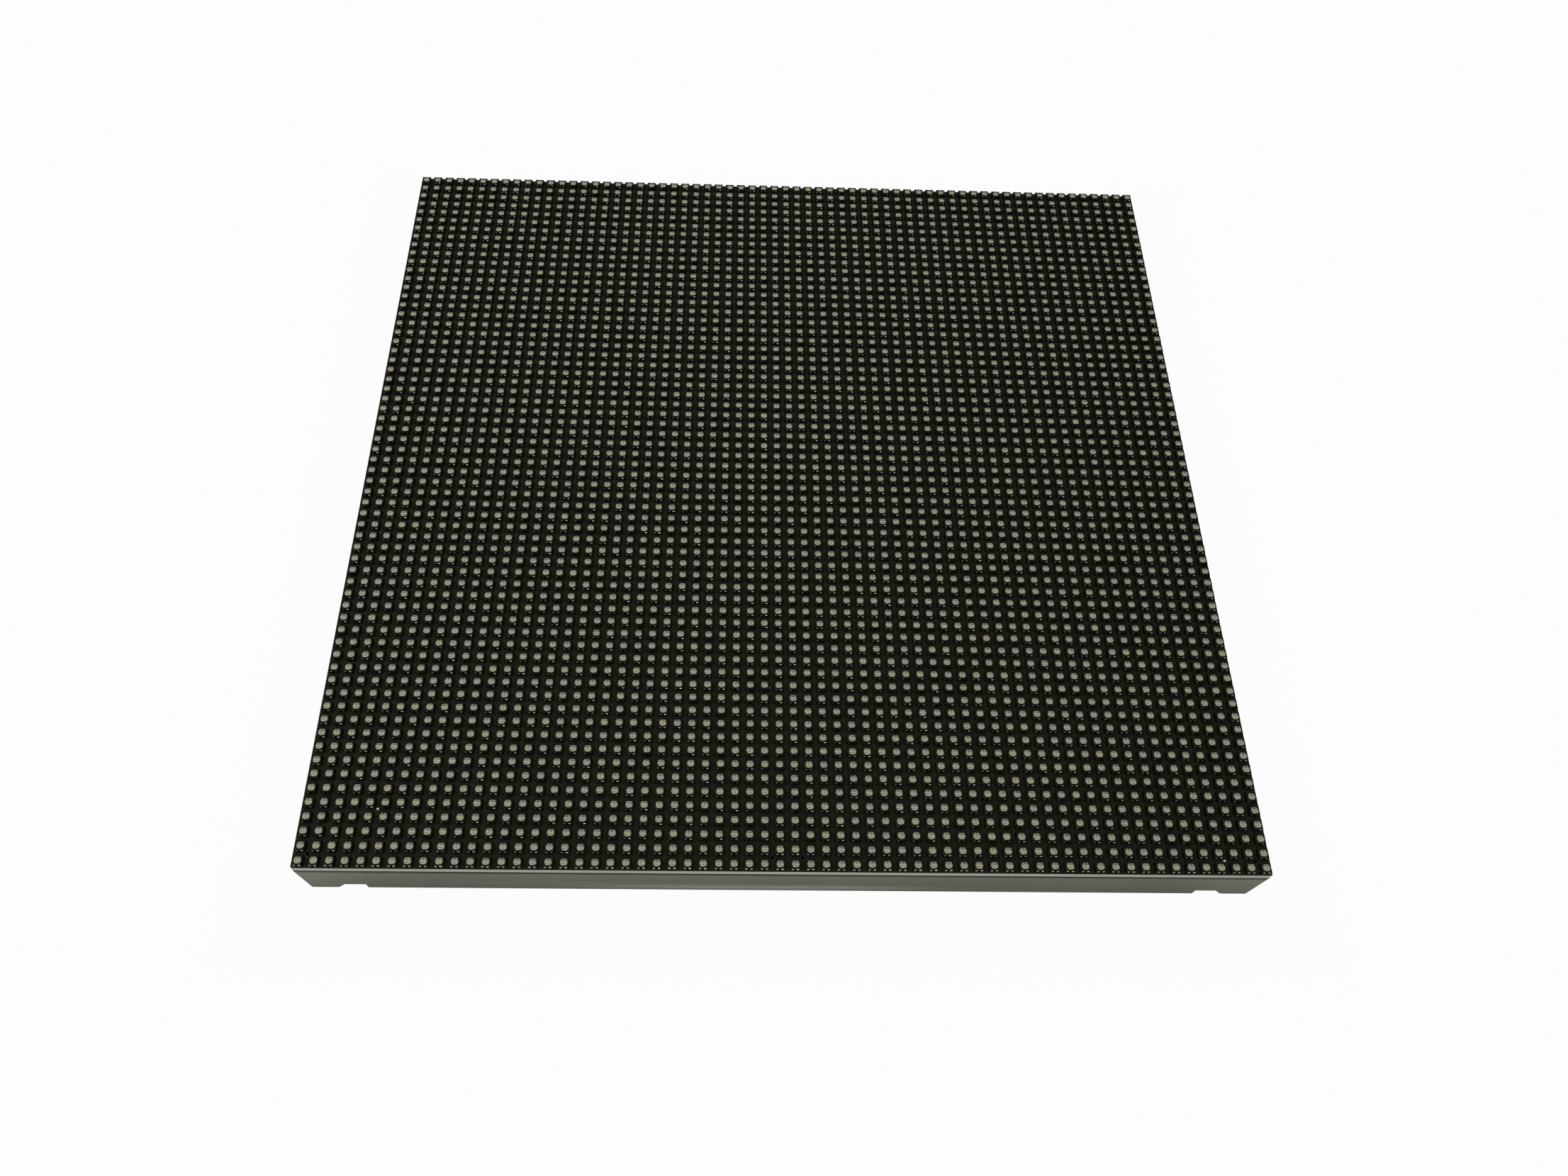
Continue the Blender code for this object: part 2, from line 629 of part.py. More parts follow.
def make_power_header(parts, tools, material):
    """The power connector: a base with four pins and a friction-lock wall."""
    half_length, half_width = POWER_PINS * POWER_PIN_PITCH / 2, POWER_BASE_WIDTH / 2
    outline = [
        (-half_width, 0.0),
        (half_width, 0.0),
        (half_width, POWER_LOCK_HEIGHT),
        (half_width - POWER_LOCK_THICKNESS, POWER_LOCK_HEIGHT),
        (half_width - POWER_LOCK_THICKNESS, POWER_BASE_HEIGHT),
        (-half_width, POWER_BASE_HEIGHT),
    ]
    bm = extruded_outline("power_header", outline, 2 * half_length, tools)
    stand = Matrix.Rotation(math.pi / 2, 4, "Z") @ Matrix.Rotation(math.pi / 2, 4, "X")
    bmesh.ops.transform(bm, matrix=stand, verts=bm.verts)
    header = mesh_object("power_header", bm, parts, material)

    bm = bmesh.new()
    top = POWER_LOCK_HEIGHT + CUT_OVERRUN
    for side in (-1, 1):
        middle = side * POWER_PIN_PITCH
        add_box(
            bm,
            (middle - POWER_LOCK_SLOT_WIDTH / 2, 0.0, POWER_LOCK_HEIGHT - POWER_LOCK_SLOT_DEPTH),
            (middle + POWER_LOCK_SLOT_WIDTH / 2, half_width + CUT_OVERRUN, top),
        )
    slots = as_tool(mesh_object("power_lock_slots", bm, tools))
    combine(header, slots, "DIFFERENCE")

    bm = bmesh.new()
    half_pin = POWER_PIN_SIZE / 2
    pin_y = -POWER_LOCK_THICKNESS / 2
    for index in range(POWER_PINS):
        x = (index - (POWER_PINS - 1) / 2) * POWER_PIN_PITCH
        add_box(
            bm,
            (x - half_pin, pin_y - half_pin, POWER_BASE_HEIGHT - JOIN_OVERLAP),
            (x + half_pin, pin_y + half_pin, POWER_PIN_HEIGHT),
        )
    pins = as_tool(mesh_object("power_pins", bm, tools))
    combine(header, pins, "UNION")
    for piece in (header, slots, pins):
        on_board_back(piece, 0.0, 0.0)
    return header


def make_led_driver(name, x, y, parts, material):
    """A leadless driver chip with its upper edges broken."""
    half = DRIVER_SIDE / 2
    bm = bmesh.new()
    add_box(bm, (-half, -half, 0.0), (half, half, DRIVER_HEIGHT))
    top = [
        edge
        for edge in bm.edges
        if min(vert.co.z for vert in edge.verts) > DRIVER_HEIGHT / 2
    ]
    bmesh.ops.bevel(bm, geom=top, offset=DRIVER_EDGE_BEVEL, segments=1, affect="EDGES")
    return on_board_back(mesh_object(name, bm, parts, material), x, y)


def lead_outline(half_width, reach):
    """A gull-wing lead seen from the end of the chip, from inside the body to its toe."""
    middle = CHIP_STANDOFF + CHIP_HEIGHT / 2
    knee = half_width + (reach - LEAD_FOOT) / 2
    toe = half_width + reach
    heel = toe - LEAD_FOOT
    return [
        (half_width - LEAD_ROOT, middle - LEAD_THICKNESS / 2),
        (knee - LEAD_THICKNESS / 2, middle - LEAD_THICKNESS / 2),
        (heel - LEAD_THICKNESS / 2, 0.0),
        (toe, 0.0),
        (toe, LEAD_THICKNESS),
        (heel + LEAD_THICKNESS / 2, LEAD_THICKNESS),
        (knee + LEAD_THICKNESS / 2, middle + LEAD_THICKNESS / 2),
        (half_width - LEAD_ROOT, middle + LEAD_THICKNESS / 2),
    ]


def make_leaded_chip(name, place, size, lead_count, lead_reach, parts, tools, material):
    """A moulded chip with gull-wing leads along both long sides."""
    half_length, half_width = size[0] / 2, size[1] / 2
    low, high = CHIP_STANDOFF, CHIP_STANDOFF + CHIP_HEIGHT
    bm = bmesh.new()
    add_box(bm, (-half_width, -half_length, low), (half_width, half_length, high))
    for vert in bm.verts:
        if vert.co.z > (low + high) / 2:
            vert.co.x -= math.copysign(CHIP_SIDE_TAPER, vert.co.x)
            vert.co.y -= math.copysign(CHIP_SIDE_TAPER, vert.co.y)
    chip = mesh_object(name, bm, parts, material)

    lead = extruded_outline(name + "_lead", lead_outline(half_width, lead_reach), LEAD_WIDTH, tools)
    bmesh.ops.transform(lead, matrix=Matrix.Rotation(math.pi / 2, 4, "X"), verts=lead.verts)
    source = bpy.data.meshes.new(name + "_lead")
    lead.to_mesh(source)
    lead.free()
    per_side = lead_count // 2
    bm = bmesh.new()
    for turn in (0.0, math.pi):
        for index in range(per_side):
            before = len(bm.verts)
            bm.from_mesh(source)
            bm.verts.ensure_lookup_table()
            along = (index - (per_side - 1) / 2) * LEAD_PITCH
            move = Matrix.Rotation(turn, 4, "Z") @ Matrix.Translation((0.0, along, 0.0))
            bmesh.ops.transform(bm, matrix=move, verts=bm.verts[before:])
    bpy.data.meshes.remove(source)
    leads = as_tool(mesh_object(name + "_leads", bm, tools))
    combine(chip, leads, "UNION")
    for piece in (chip, leads):
        on_board_back(piece, *place)
    return chip


def make_capacitor(name, x, y, parts, tools, material):
    """An electrolytic capacitor: a grooved can on a base with two cut corners."""
    half = CAPACITOR_BASE_SIDE / 2
    cut = CAPACITOR_BASE_CHAMFER
    outline = [
        (-half, -half),
        (half, -half),
        (half, half - cut),
        (half - cut, half),
        (-half + cut, half),
        (-half, half - cut),
    ]
    bm = extruded_outline(name + "_base", outline, CAPACITOR_BASE_HEIGHT, tools)
    lift = Matrix.Translation((0.0, 0.0, CAPACITOR_BASE_HEIGHT / 2))
    bmesh.ops.transform(bm, matrix=lift, verts=bm.verts)
    capacitor = mesh_object(name, bm, parts, material)

    radius = CAPACITOR_DIAMETER / 2
    groove = CAPACITOR_GROOVE_HEIGHT
    depth = CAPACITOR_GROOVE_DEPTH
    top_centre = (radius - CAPACITOR_TOP_ROUND, CAPACITOR_HEIGHT - CAPACITOR_TOP_ROUND)
    profile = [(0.0, CAPACITOR_HEIGHT)]
    profile += arc(top_centre, CAPACITOR_TOP_ROUND, 90.0, 0.0, 2)
    profile += [
        (radius, groove + depth),
        (radius - depth, groove),
        (radius, groove - depth),
        (radius, CAPACITOR_BASE_HEIGHT - JOIN_OVERLAP),
        (0.0, CAPACITOR_BASE_HEIGHT - JOIN_OVERLAP),
    ]
    can = as_tool(turned_object(name + "_can", profile, SMALL_ROUND_SIDES, tools))
    combine(capacitor, can, "UNION")
    for piece in (capacitor, can):
        on_board_back(piece, x, y)
    return capacitor


def main():
    clear_scene()
    parts = new_collection("rgb_led_matrix_panel")
    tools = new_collection("construction")

    black_board = make_material("black_solder_mask", (0.010, 0.010, 0.007), 0.5)
    grey_moulding = make_material("grey_moulding", (0.115, 0.117, 0.099), 0.55)
    black_nylon = make_material("black_nylon", (0.015, 0.015, 0.015), 0.5)
    white_nylon = make_material("white_nylon", (0.80, 0.78, 0.70), 0.45)
    black_epoxy = make_material("black_epoxy", (0.012, 0.012, 0.013), 0.55)
    aluminium_can = make_material("aluminium_can", (0.70, 0.70, 0.70), 0.3, 1.0)
    brass = make_material("brass", (0.75, 0.56, 0.26), 0.3, 1.0)
    zinc_steel = make_material("zinc_steel", (0.62, 0.62, 0.62), 0.35, 1.0)
    tinned_steel = make_material("tinned_steel", (0.72, 0.71, 0.68), 0.3, 1.0)

    make_led_board(parts, tools, black_board)
    make_rear_frame(parts, tools, grey_moulding)
    for number, place in enumerate(INSERT_PLACES, 1):
        make_insert(f"mounting_insert_{number}", place, parts, brass)
    for number, place in enumerate(SCREW_PLACES, 1):
        make_frame_screw(f"frame_screw_{number}", place, parts, zinc_steel)
        make_solder_nut(f"solder_nut_{number}", place, parts, tinned_steel)

    make_data_header("data_in_header", -1, parts, tools, black_nylon)
    make_data_header("data_out_header", 1, parts, tools, black_nylon)
    make_power_header(parts, tools, white_nylon)

    number = 0
    for side in (1, -1):
        for window_x in (-SIDE_WINDOW_X, 0.0, SIDE_WINDOW_X):
            for index in range(DRIVERS_PER_GROUP):
                number += 1
                x = window_x + (index - (DRIVERS_PER_GROUP - 1) / 2) * DRIVER_PITCH
                make_led_driver(f"led_driver_{number:02d}", x, side * DRIVER_ROW_Y, parts, black_epoxy)

    free_width = DATA_INNER_X - COLUMN_BAR_OUTER_X
    row_driver_size = (ROW_DRIVER_LENGTH, ROW_DRIVER_WIDTH)
    number = 0
    for column in (1, 2):
        for side in (-1, 1):
            number += 1
            place = (COLUMN_BAR_OUTER_X + free_width * column / 3, side * ROW_DRIVER_SPREAD / 2)
            make_leaded_chip(
                f"row_driver_{number}",
                place,
                row_driver_size,
                ROW_DRIVER_LEADS,
                ROW_DRIVER_LEAD_REACH,
                parts,
                tools,
                black_epoxy,
            )
    buffer_x = -(COLUMN_BAR_OUTER_X + free_width / 2)
    for number, side in ((1, -1), (2, 1)):
        make_leaded_chip(
            f"bus_buffer_{number}",
            (buffer_x, side * BUFFER_SPREAD / 2),
            (BUFFER_LENGTH, BUFFER_WIDTH),
            BUFFER_LEADS,
            BUFFER_LEAD_REACH,
            parts,
            tools,
            black_epoxy,
        )

    number = 0
    for side_x in (-1, 1):
        for side_y in (-1, 1):
            number += 1
            make_capacitor(
                f"capacitor_{number}",
                side_x * CAPACITOR_COLUMN_SPREAD / 2,
                side_y * CAPACITOR_ROW_SPREAD / 2,
                parts,
                tools,
                aluminium_can,
            )


main()
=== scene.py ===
"""An RGB LED matrix panel, dressed and photographed on a white studio floor.

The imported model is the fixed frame: a black circuit board with 64 by 64 LEDs on its
front, the driver electronics on its back, and a moulded frame behind it. Lengths are in
metres, +Z points out of the lit face and the panel rests on the plane z = 0. Finishes
read places on the part in millimetres.
"""

import logging
import math
from collections.abc import Callable, Iterator, Sequence
from contextlib import contextmanager
from dataclasses import dataclass
from enum import Enum

import bmesh
import bpy
import numpy as np
from mathutils import Matrix, Vector


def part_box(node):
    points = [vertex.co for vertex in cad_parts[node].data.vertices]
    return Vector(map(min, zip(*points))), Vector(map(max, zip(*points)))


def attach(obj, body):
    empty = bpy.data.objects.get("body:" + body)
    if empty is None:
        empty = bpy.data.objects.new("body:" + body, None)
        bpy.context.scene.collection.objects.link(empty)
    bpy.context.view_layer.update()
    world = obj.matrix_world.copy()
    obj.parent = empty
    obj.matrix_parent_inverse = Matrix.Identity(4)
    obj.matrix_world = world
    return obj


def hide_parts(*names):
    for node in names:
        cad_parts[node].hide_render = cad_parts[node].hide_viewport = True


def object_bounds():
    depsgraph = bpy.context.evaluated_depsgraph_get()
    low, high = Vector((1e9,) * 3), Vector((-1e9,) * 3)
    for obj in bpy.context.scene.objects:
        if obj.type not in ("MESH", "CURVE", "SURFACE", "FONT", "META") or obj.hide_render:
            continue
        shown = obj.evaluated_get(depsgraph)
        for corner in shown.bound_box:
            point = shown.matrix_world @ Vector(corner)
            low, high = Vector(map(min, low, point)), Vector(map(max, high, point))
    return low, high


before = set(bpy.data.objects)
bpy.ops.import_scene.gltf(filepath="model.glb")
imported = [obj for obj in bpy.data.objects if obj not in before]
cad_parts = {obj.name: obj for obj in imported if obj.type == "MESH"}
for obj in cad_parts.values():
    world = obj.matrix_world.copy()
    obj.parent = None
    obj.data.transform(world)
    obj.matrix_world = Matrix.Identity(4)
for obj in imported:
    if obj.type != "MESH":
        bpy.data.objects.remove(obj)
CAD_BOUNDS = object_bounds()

MM = 0.001
# What lies this near a wanted place counts as being there.
CLOSE = 0.01 * MM
# Points this near each other are merged.
WELD = 0.001 * MM
# Moulded bodies stand this far off the board.
LIFT = 0.05 * MM
# The LEDs' pitch in millimetres, and their number along each side.
LED_PITCH = 3.0
LEDS_PER_SIDE = 64
BODY = "root"
LOG = logging.getLogger("led_panel")
SIDES = (-1, 1)

Colour = tuple[float, float, float]
Place = tuple[float, float]
Spot = tuple[float, float, float]
Socket = bpy.types.NodeSocket
Piece = bpy.types.Object
Test = Callable[[Vector, Vector], bool]


def operator(operation: str, swapped: bool = False) -> Callable[["Value", "Value | float"], "Value"]:
    """Makes a method that joins two values with a Math node.

    Args:
        operation: the Math node's operation.
        swapped: puts the other value first.

    Returns:
        The method.
    """

    def method(self: "Value", other: "Value | float") -> "Value":
        """Adds the node."""
        return self.graph.math(operation, *((other, self) if swapped else (self, other)))

    return method


class Value:
    """A number in a shader, which takes part in Python expressions."""

    __add__, __radd__ = operator("ADD"), operator("ADD", swapped=True)
    __sub__, __rsub__ = operator("SUBTRACT"), operator("SUBTRACT", swapped=True)
    __mul__, __rmul__ = operator("MULTIPLY"), operator("MULTIPLY", swapped=True)
    __truediv__ = operator("DIVIDE")
    most = operator("MAXIMUM")

    def __init__(self, graph: "ShaderGraph", socket: Socket) -> None:
        """Wraps an output socket of the graph."""
        self.graph = graph
        self.socket = socket

    def size(self) -> "Value":
        """The value without its sign."""
        return self.graph.math("ABSOLUTE", self)

    def whole(self) -> "Value":
        """The whole number below."""
        return self.graph.math("FLOOR", self)

    def fraction(self) -> "Value":
        """What is left above the whole number below."""
        return self.graph.math("FRACT", self)

    def swing(self, much: float) -> "Value":
        """Turns 0 to 1 into minus half to plus half of an amount."""
        return (self - 0.5) * much

    def rise(self, low: float, high: float) -> "Value":
        """Goes smoothly from 0 at low to 1 at high; low may lie above high.

        Args:
            low: where the result is 0.
            high: where the result is 1.

        Returns:
            The smoothed value.
        """
        settings = {"interpolation_type": "SMOOTHSTEP", "clamp": True}
        inputs = {"Value": self, "From Min": low, "From Max": high}
        made = self.graph.node("ShaderNodeMapRange", settings, inputs)
        return Value(self.graph, made.outputs["Result"])

    def near(self, centre: float, outer: float, inner: float = 0.02) -> "Value":
        """Is 1 within the inner distance of a centre, and 0 beyond the outer one."""
        return (self - centre).size().rise(outer, inner)


class ShaderGraph:
    """The node tree of one material, built round its Principled shader."""

    def __init__(self, name: str) -> None:
        """Makes the material.

        Args:
            name: the material's name.
        """
        self.material = bpy.data.materials.new(name)
        self.material.use_nodes = True
        self.tree = self.material.node_tree
        self.shader = self.tree.nodes["Principled BSDF"]

    def feed(self, socket: Socket, value: "Value | Socket | float | Sequence[float]") -> None:
        """Links a value to an input socket, or sets it there.

        Args:
            socket: the input.
            value: a wrapped value, an output socket, a number, a vector or a colour.
        """
        source = value.socket if isinstance(value, Value) else value
        if isinstance(source, Socket):
            self.tree.links.new(source, socket)
        elif socket.type == "RGBA":
            socket.default_value = (*source, 1.0)
        else:
            socket.default_value = source

    def node(self, kind: str, settings: dict | None = None, inputs: dict | None = None) -> bpy.types.Node:
        """Adds a node of any kind.

        Args:
            kind: the node's type.
            settings: its properties, set before its inputs.
            inputs: values or links by the name or number of the input.

        Returns:
            The node.
        """
        made = self.tree.nodes.new(kind)
        for name, value in (settings or {}).items():
            setattr(made, name, value)
        for key, value in (inputs or {}).items():
            self.feed(made.inputs[key], value)
        return made

    def math(self, operation: str, *values: "Value | float") -> Value:
        """Adds a Math node and gives its result."""
        made = self.node("ShaderNodeMath", {"operation": operation}, dict(enumerate(values)))
        return Value(self, made.outputs[0])

    def place(self) -> Socket:
        """The point's place on the part, in millimetres."""
        spot = self.node("ShaderNodeTexCoord").outputs["Object"]
        return self.scaled(spot, (1 / MM, 1 / MM, 1 / MM))

    def scaled(self, vector: Socket, factors: Sequence[float]) -> Socket:
        """The vector with each axis multiplied by its factor."""
        settings = {"operation": "MULTIPLY"}
        return self.node("ShaderNodeVectorMath", settings, {0: vector, 1: factors}).outputs[0]

    def axes(self, vector: Socket) -> tuple[Value, Value, Value]:
        """The X, Y and Z of a vector."""
        made = self.node("ShaderNodeSeparateXYZ", inputs={0: vector})
        return tuple(Value(self, output) for output in made.outputs)

    def joined(self, *values: Value | float) -> Socket:
        """A vector of three values."""
        return self.node("ShaderNodeCombineXYZ", inputs=dict(enumerate(values))).outputs[0]

    def length(self, wide: Value, high: Value) -> Value:
        """The length of a step with two parts."""
        return self.math("SQRT", wide * wide + high * high)

    def noise(self, vector: Socket, scale: float, detail: float = 2.0, rough: float = 0.5) -> Value:
        """Soft noise from 0 to 1.

        Args:
            vector: where it is read.
            scale: cells in a unit of the vector.
            detail: finer layers on top.
            rough: how strong the finer layers are.

        Returns:
            The noise.
        """
        inputs = {"Vector": vector, "Scale": scale, "Detail": detail, "Roughness": rough}
        return Value(self, self.node("ShaderNodeTexNoise", inputs=inputs).outputs[0])

    def chance(self, vector: Socket) -> tuple[Value, Socket]:
        """A random number and a random colour for each value of a vector."""
        made = self.node("ShaderNodeTexWhiteNoise", {"noise_dimensions": "3D"}, {"Vector": vector})
        return Value(self, made.outputs["Value"]), made.outputs["Color"]

    def mixed(
        self, share: Value | float, first: Socket | Colour, second: Socket | Colour, blend: str = "MIX"
    ) -> Socket:
        """Mixes two colours.

        Args:
            share: how much of the second shows.
            first: the colour at 0.
            second: the colour at 1.
            blend: the Mix node's blend type.

        Returns:
            The mixed colour.
        """
        settings = {"data_type": "RGBA", "blend_type": blend}
        return self.node("ShaderNodeMix", settings, {0: share, 6: first, 7: second}).outputs[2]

    def lit(self, colour: Socket | Colour, factor: Value) -> Socket:
        """A colour times a number."""
        return self.mixed(1.0, colour, self.joined(factor, factor, factor), "MULTIPLY")

    def dress(self, colour: Socket | Colour, rough: Value | float, relief: Value, depth: float) -> None:
        """Feeds the shader.

        Args:
            colour: the base colour.
            rough: the roughness.
            relief: the surface's relief, from 0 to 1.
            depth: the relief's depth in metres.
        """
        normal = self.node("ShaderNodeBump", inputs={"Distance": depth, "Height": relief}).outputs[0]
        for name, value in {"Base Color": colour, "Roughness": rough, "Normal": normal}.items():
            self.feed(self.shader.inputs[name], value)


@dataclass(frozen=True)
class Finish:
    """What every finish has; each kind of surface paints it in its own way.

    The relief is the depth of the surface's roughness, in metres.
    """

    name: str
    slot: str
    colour: Colour
    roughness: float
    specular: float = 0.5
    relief: float = 0.004 * MM

    def material(self) -> bpy.types.Material:
        """The finish as a material, made once.

        Returns:
            The material.
        """
        known = bpy.data.materials.get(self.name)
        if known:
            return known
        graph = ShaderGraph(self.name)
        graph.shader.inputs["Specular IOR Level"].default_value = self.specular
        self.paint(graph, graph.place())
        return graph.material

    def paint(self, graph: ShaderGraph, spot: Socket) -> None:
        """Builds the nodes.

        Args:
            graph: the material's graph.
            spot: the point in millimetres.
        """
        raise NotImplementedError


@dataclass(frozen=True)
class MouldedPlastic(Finish):
    """Moulded plastic: fine sparks-eroded grain, flow streaks and handling marks; on the frame's outer
    walls also painted light and shade.
    """

    streak: float = 0.10
    grain_scale: float = 6.0
    # Turns on the painted light and shade of the frame's outer walls.
    paints_wall_light: bool = False

    def paint(self, graph: ShaderGraph, spot: Socket) -> None:
        """Builds the nodes.

        Args:
            graph: the material's graph.
            spot: the point in millimetres.
        """
        streaks = graph.noise(graph.scaled(spot, (0.55, 0.55, 0.05)), 1.0, 3.0, 0.6)
        clouds = graph.noise(spot, 0.045)
        grain = graph.noise(spot, self.grain_scale, 3.0, 0.6)
        marks = graph.noise(graph.scaled(spot, (0.1, 0.1, 1.6)), 1.0, 4.0, 0.7).rise(0.62, 0.72)
        tone = 1.0 + streaks.swing(self.streak * 2) + clouds.swing(0.25) + grain.swing(0.10) + marks * 0.06
        if self.paints_wall_light:
            tone = tone * self.painted_wall_light(graph, spot)
        rough = self.roughness + clouds.swing(0.12) + grain.swing(0.10) - marks * 0.05
        graph.dress(graph.lit(self.colour, tone), rough, grain * 0.8 + streaks * 0.2, self.relief)

    def painted_wall_light(self, graph: ShaderGraph, spot: Socket) -> Value:
        """Painted light and shade: the wall is painted paler towards its top and its ends, and a painted
        shadow lies under the board's overhanging edge.

        Args:
            graph: the material's graph.
            spot: the point in millimetres.

        Returns:
            What the colour is multiplied by.
        """
        x, _, z = graph.axes(spot)
        # Painted light: paler towards the top and towards the ends.
        paler_share = z.rise(1.0, 10.0) * 0.21 + x.size().rise(78.0, 90.0) * 0.20
        # Painted shadow under the board's overhanging edge.
        overhang_shadow = z.rise(10.15, 10.65)
        return (0.79 + paler_share) * (1.0 - overhang_shadow * 0.60)


@dataclass(frozen=True)
class SolderMask(Finish):
    """Solder mask over copper: an even skin, a faint orange peel, dust and scratches, and, where an LED
    pitch is given, painted light and shade across the LED columns.
    """

    relief: float = 0.006 * MM
    specks: tuple[tuple[float, float, float], ...] = ()
    scratches: tuple[tuple[float, float, float, float], ...] = ()
    rings: tuple[Place, ...] = ()
    ring_radius: float = 1.25
    led_pitch: float = 0.0
    dust: Colour = (0.20, 0.20, 0.16)
    bared: Colour = (0.10, 0.10, 0.08)
    speck: Colour = (0.80, 0.80, 0.75)

    def paint(self, graph: ShaderGraph, spot: Socket) -> None:
        """Builds the nodes.

        Args:
            graph: the material's graph.
            spot: the point in millimetres.
        """
        x, y, _ = graph.axes(spot)
        peel = graph.noise(spot, 1.4)
        clouds = graph.noise(spot, 0.05, 3.0, 0.6)
        dust = graph.noise(spot, 7.0, 2.0, 0.8).rise(0.74, 0.80)
        tone = 0.85 + clouds * 0.3 + peel.swing(0.2)
        # Painted light and shade: the mask is painted lighter along the LED columns and darker between
        # them.
        if self.led_pitch:
            off = (x / self.led_pitch).fraction().swing(1.0).size() * self.led_pitch
            tone = tone * (1.08 - off.rise(0.92, 1.14) * 0.16)
        colour = graph.mixed(dust * 0.10, graph.lit(self.colour, tone), self.dust)
        for ends in self.scratches:
            colour = graph.mixed(self.scratch(x, y, ends) * 0.35, colour, self.bared)
        paler_share = graph.noise(spot, 0.9).rise(0.42, 0.60)
        for ring_x, ring_y in self.rings:
            ring = graph.length(x - ring_x, y - ring_y).near(self.ring_radius, 0.12, 0.03)
            colour = graph.mixed(ring * paler_share * 0.3, colour, self.bared)
        for speck_x, speck_y, radius in self.specks:
            reach = graph.length(x - speck_x, (y - speck_y) * 1.2)
            colour = graph.mixed(reach.rise(radius, radius * 0.7), colour, self.speck)
        graph.dress(colour, self.roughness + clouds.swing(0.15) + dust * 0.2, peel, self.relief)

    def scratch(self, x: Value, y: Value, ends: tuple[float, float, float, float]) -> Value:
        """How much a hairline scratch shows.

        Args:
            x: the point's X in millimetres.
            y: the point's Y in millimetres.
            ends: start X and Y, and end X and Y, in millimetres.

        Returns:
            1 in the scratch and 0 beside it.
        """
        start, end = Vector(ends[:2]), Vector(ends[2:])
        length = (end - start).length
        along = (end - start) / length
        run = (x - start.x) * along.x + (y - start.y) * along.y
        bow = (run * run) * 0.02
        off = ((x - start.x) * -along.y + (y - start.y) * along.x + bow).size()
        return off.rise(0.09, 0.03) * run.rise(0.0, 0.6) * run.rise(length, length - 0.6)


@dataclass(frozen=True)
class SawnLaminate(Finish):
    """The bare sawn edge of the board: glass cloth in layers, with its lower rim painted dark, partly for
    the back mask's edge and partly as painted shade of the gap below.
    """

    relief: float = 0.02 * MM
    masked_and_shaded_rim: tuple[float, float] = (11.66, 11.52)

    def paint(self, graph: ShaderGraph, spot: Socket) -> None:
        """Builds the nodes.

        Args:
            graph: the material's graph.
            spot: the point in millimetres.
        """
        _, _, z = graph.axes(spot)
        layers = graph.noise(graph.scaled(spot, (0.15, 0.15, 5.5)), 1.0)
        fibres = graph.noise(graph.scaled(spot, (3.0, 3.0, 9.0)), 1.0, 3.0, 0.7)
        stains = graph.noise(spot, 0.12, 3.0, 0.6)
        # The lower rim is painted dark: partly the back mask's edge, partly painted shade of the gap below.
        tone = (0.80 + layers * 0.22 + fibres * 0.14 + stains * 0.08) * (1.0 - z.rise(*self.masked_and_shaded_rim) * 0.92)
        graph.dress(graph.lit(self.colour, tone), self.roughness + fibres.swing(0.2), fibres, self.relief)


@dataclass(frozen=True)
class LedCase(Finish):
    """The black case of an LED: matt moulding, each a touch different, with painted shade on its sides."""

    pitch: float = LED_PITCH
    half: float = LED_PITCH * LEDS_PER_SIDE / 2

    def cell(self, graph: ShaderGraph, spot: Socket, parts: float = 1.0) -> Socket:
        """The number of the LED that a point belongs to.

        Args:
            graph: the material's graph.
            spot: the point in millimetres.
            parts: how many parts each LED is split into along X.

        Returns:
            A vector that is the same all over one LED or part of it.
        """
        x, y, _ = graph.axes(spot)
        column = ((x + self.half) * (parts / self.pitch)).whole()
        row = ((y + self.half) / self.pitch).whole()
        return graph.joined(column, row, 0.0)

    def within(self, value: Value) -> Value:
        """How far a coordinate lies from its LED's centre, in millimetres."""
        return ((value + self.half) / self.pitch).fraction().swing(self.pitch)

    def paint(self, graph: ShaderGraph, spot: Socket) -> None:
        """Builds the nodes.

        Args:
            graph: the material's graph.
            spot: the point in millimetres.
        """
        luck, _ = graph.chance(self.cell(graph, spot))
        grain = graph.noise(spot, 9.0)
        _, _, z = graph.axes(spot)
        # Painted shade: below its top face the case is painted darker.
        tone = (0.8 + luck * 0.4 + grain.swing(0.3)) * (0.30 + z.rise(13.69, 13.775) * 0.70)
        graph.dress(graph.lit(self.colour, tone), self.roughness + luck.swing(0.15), grain, self.relief)


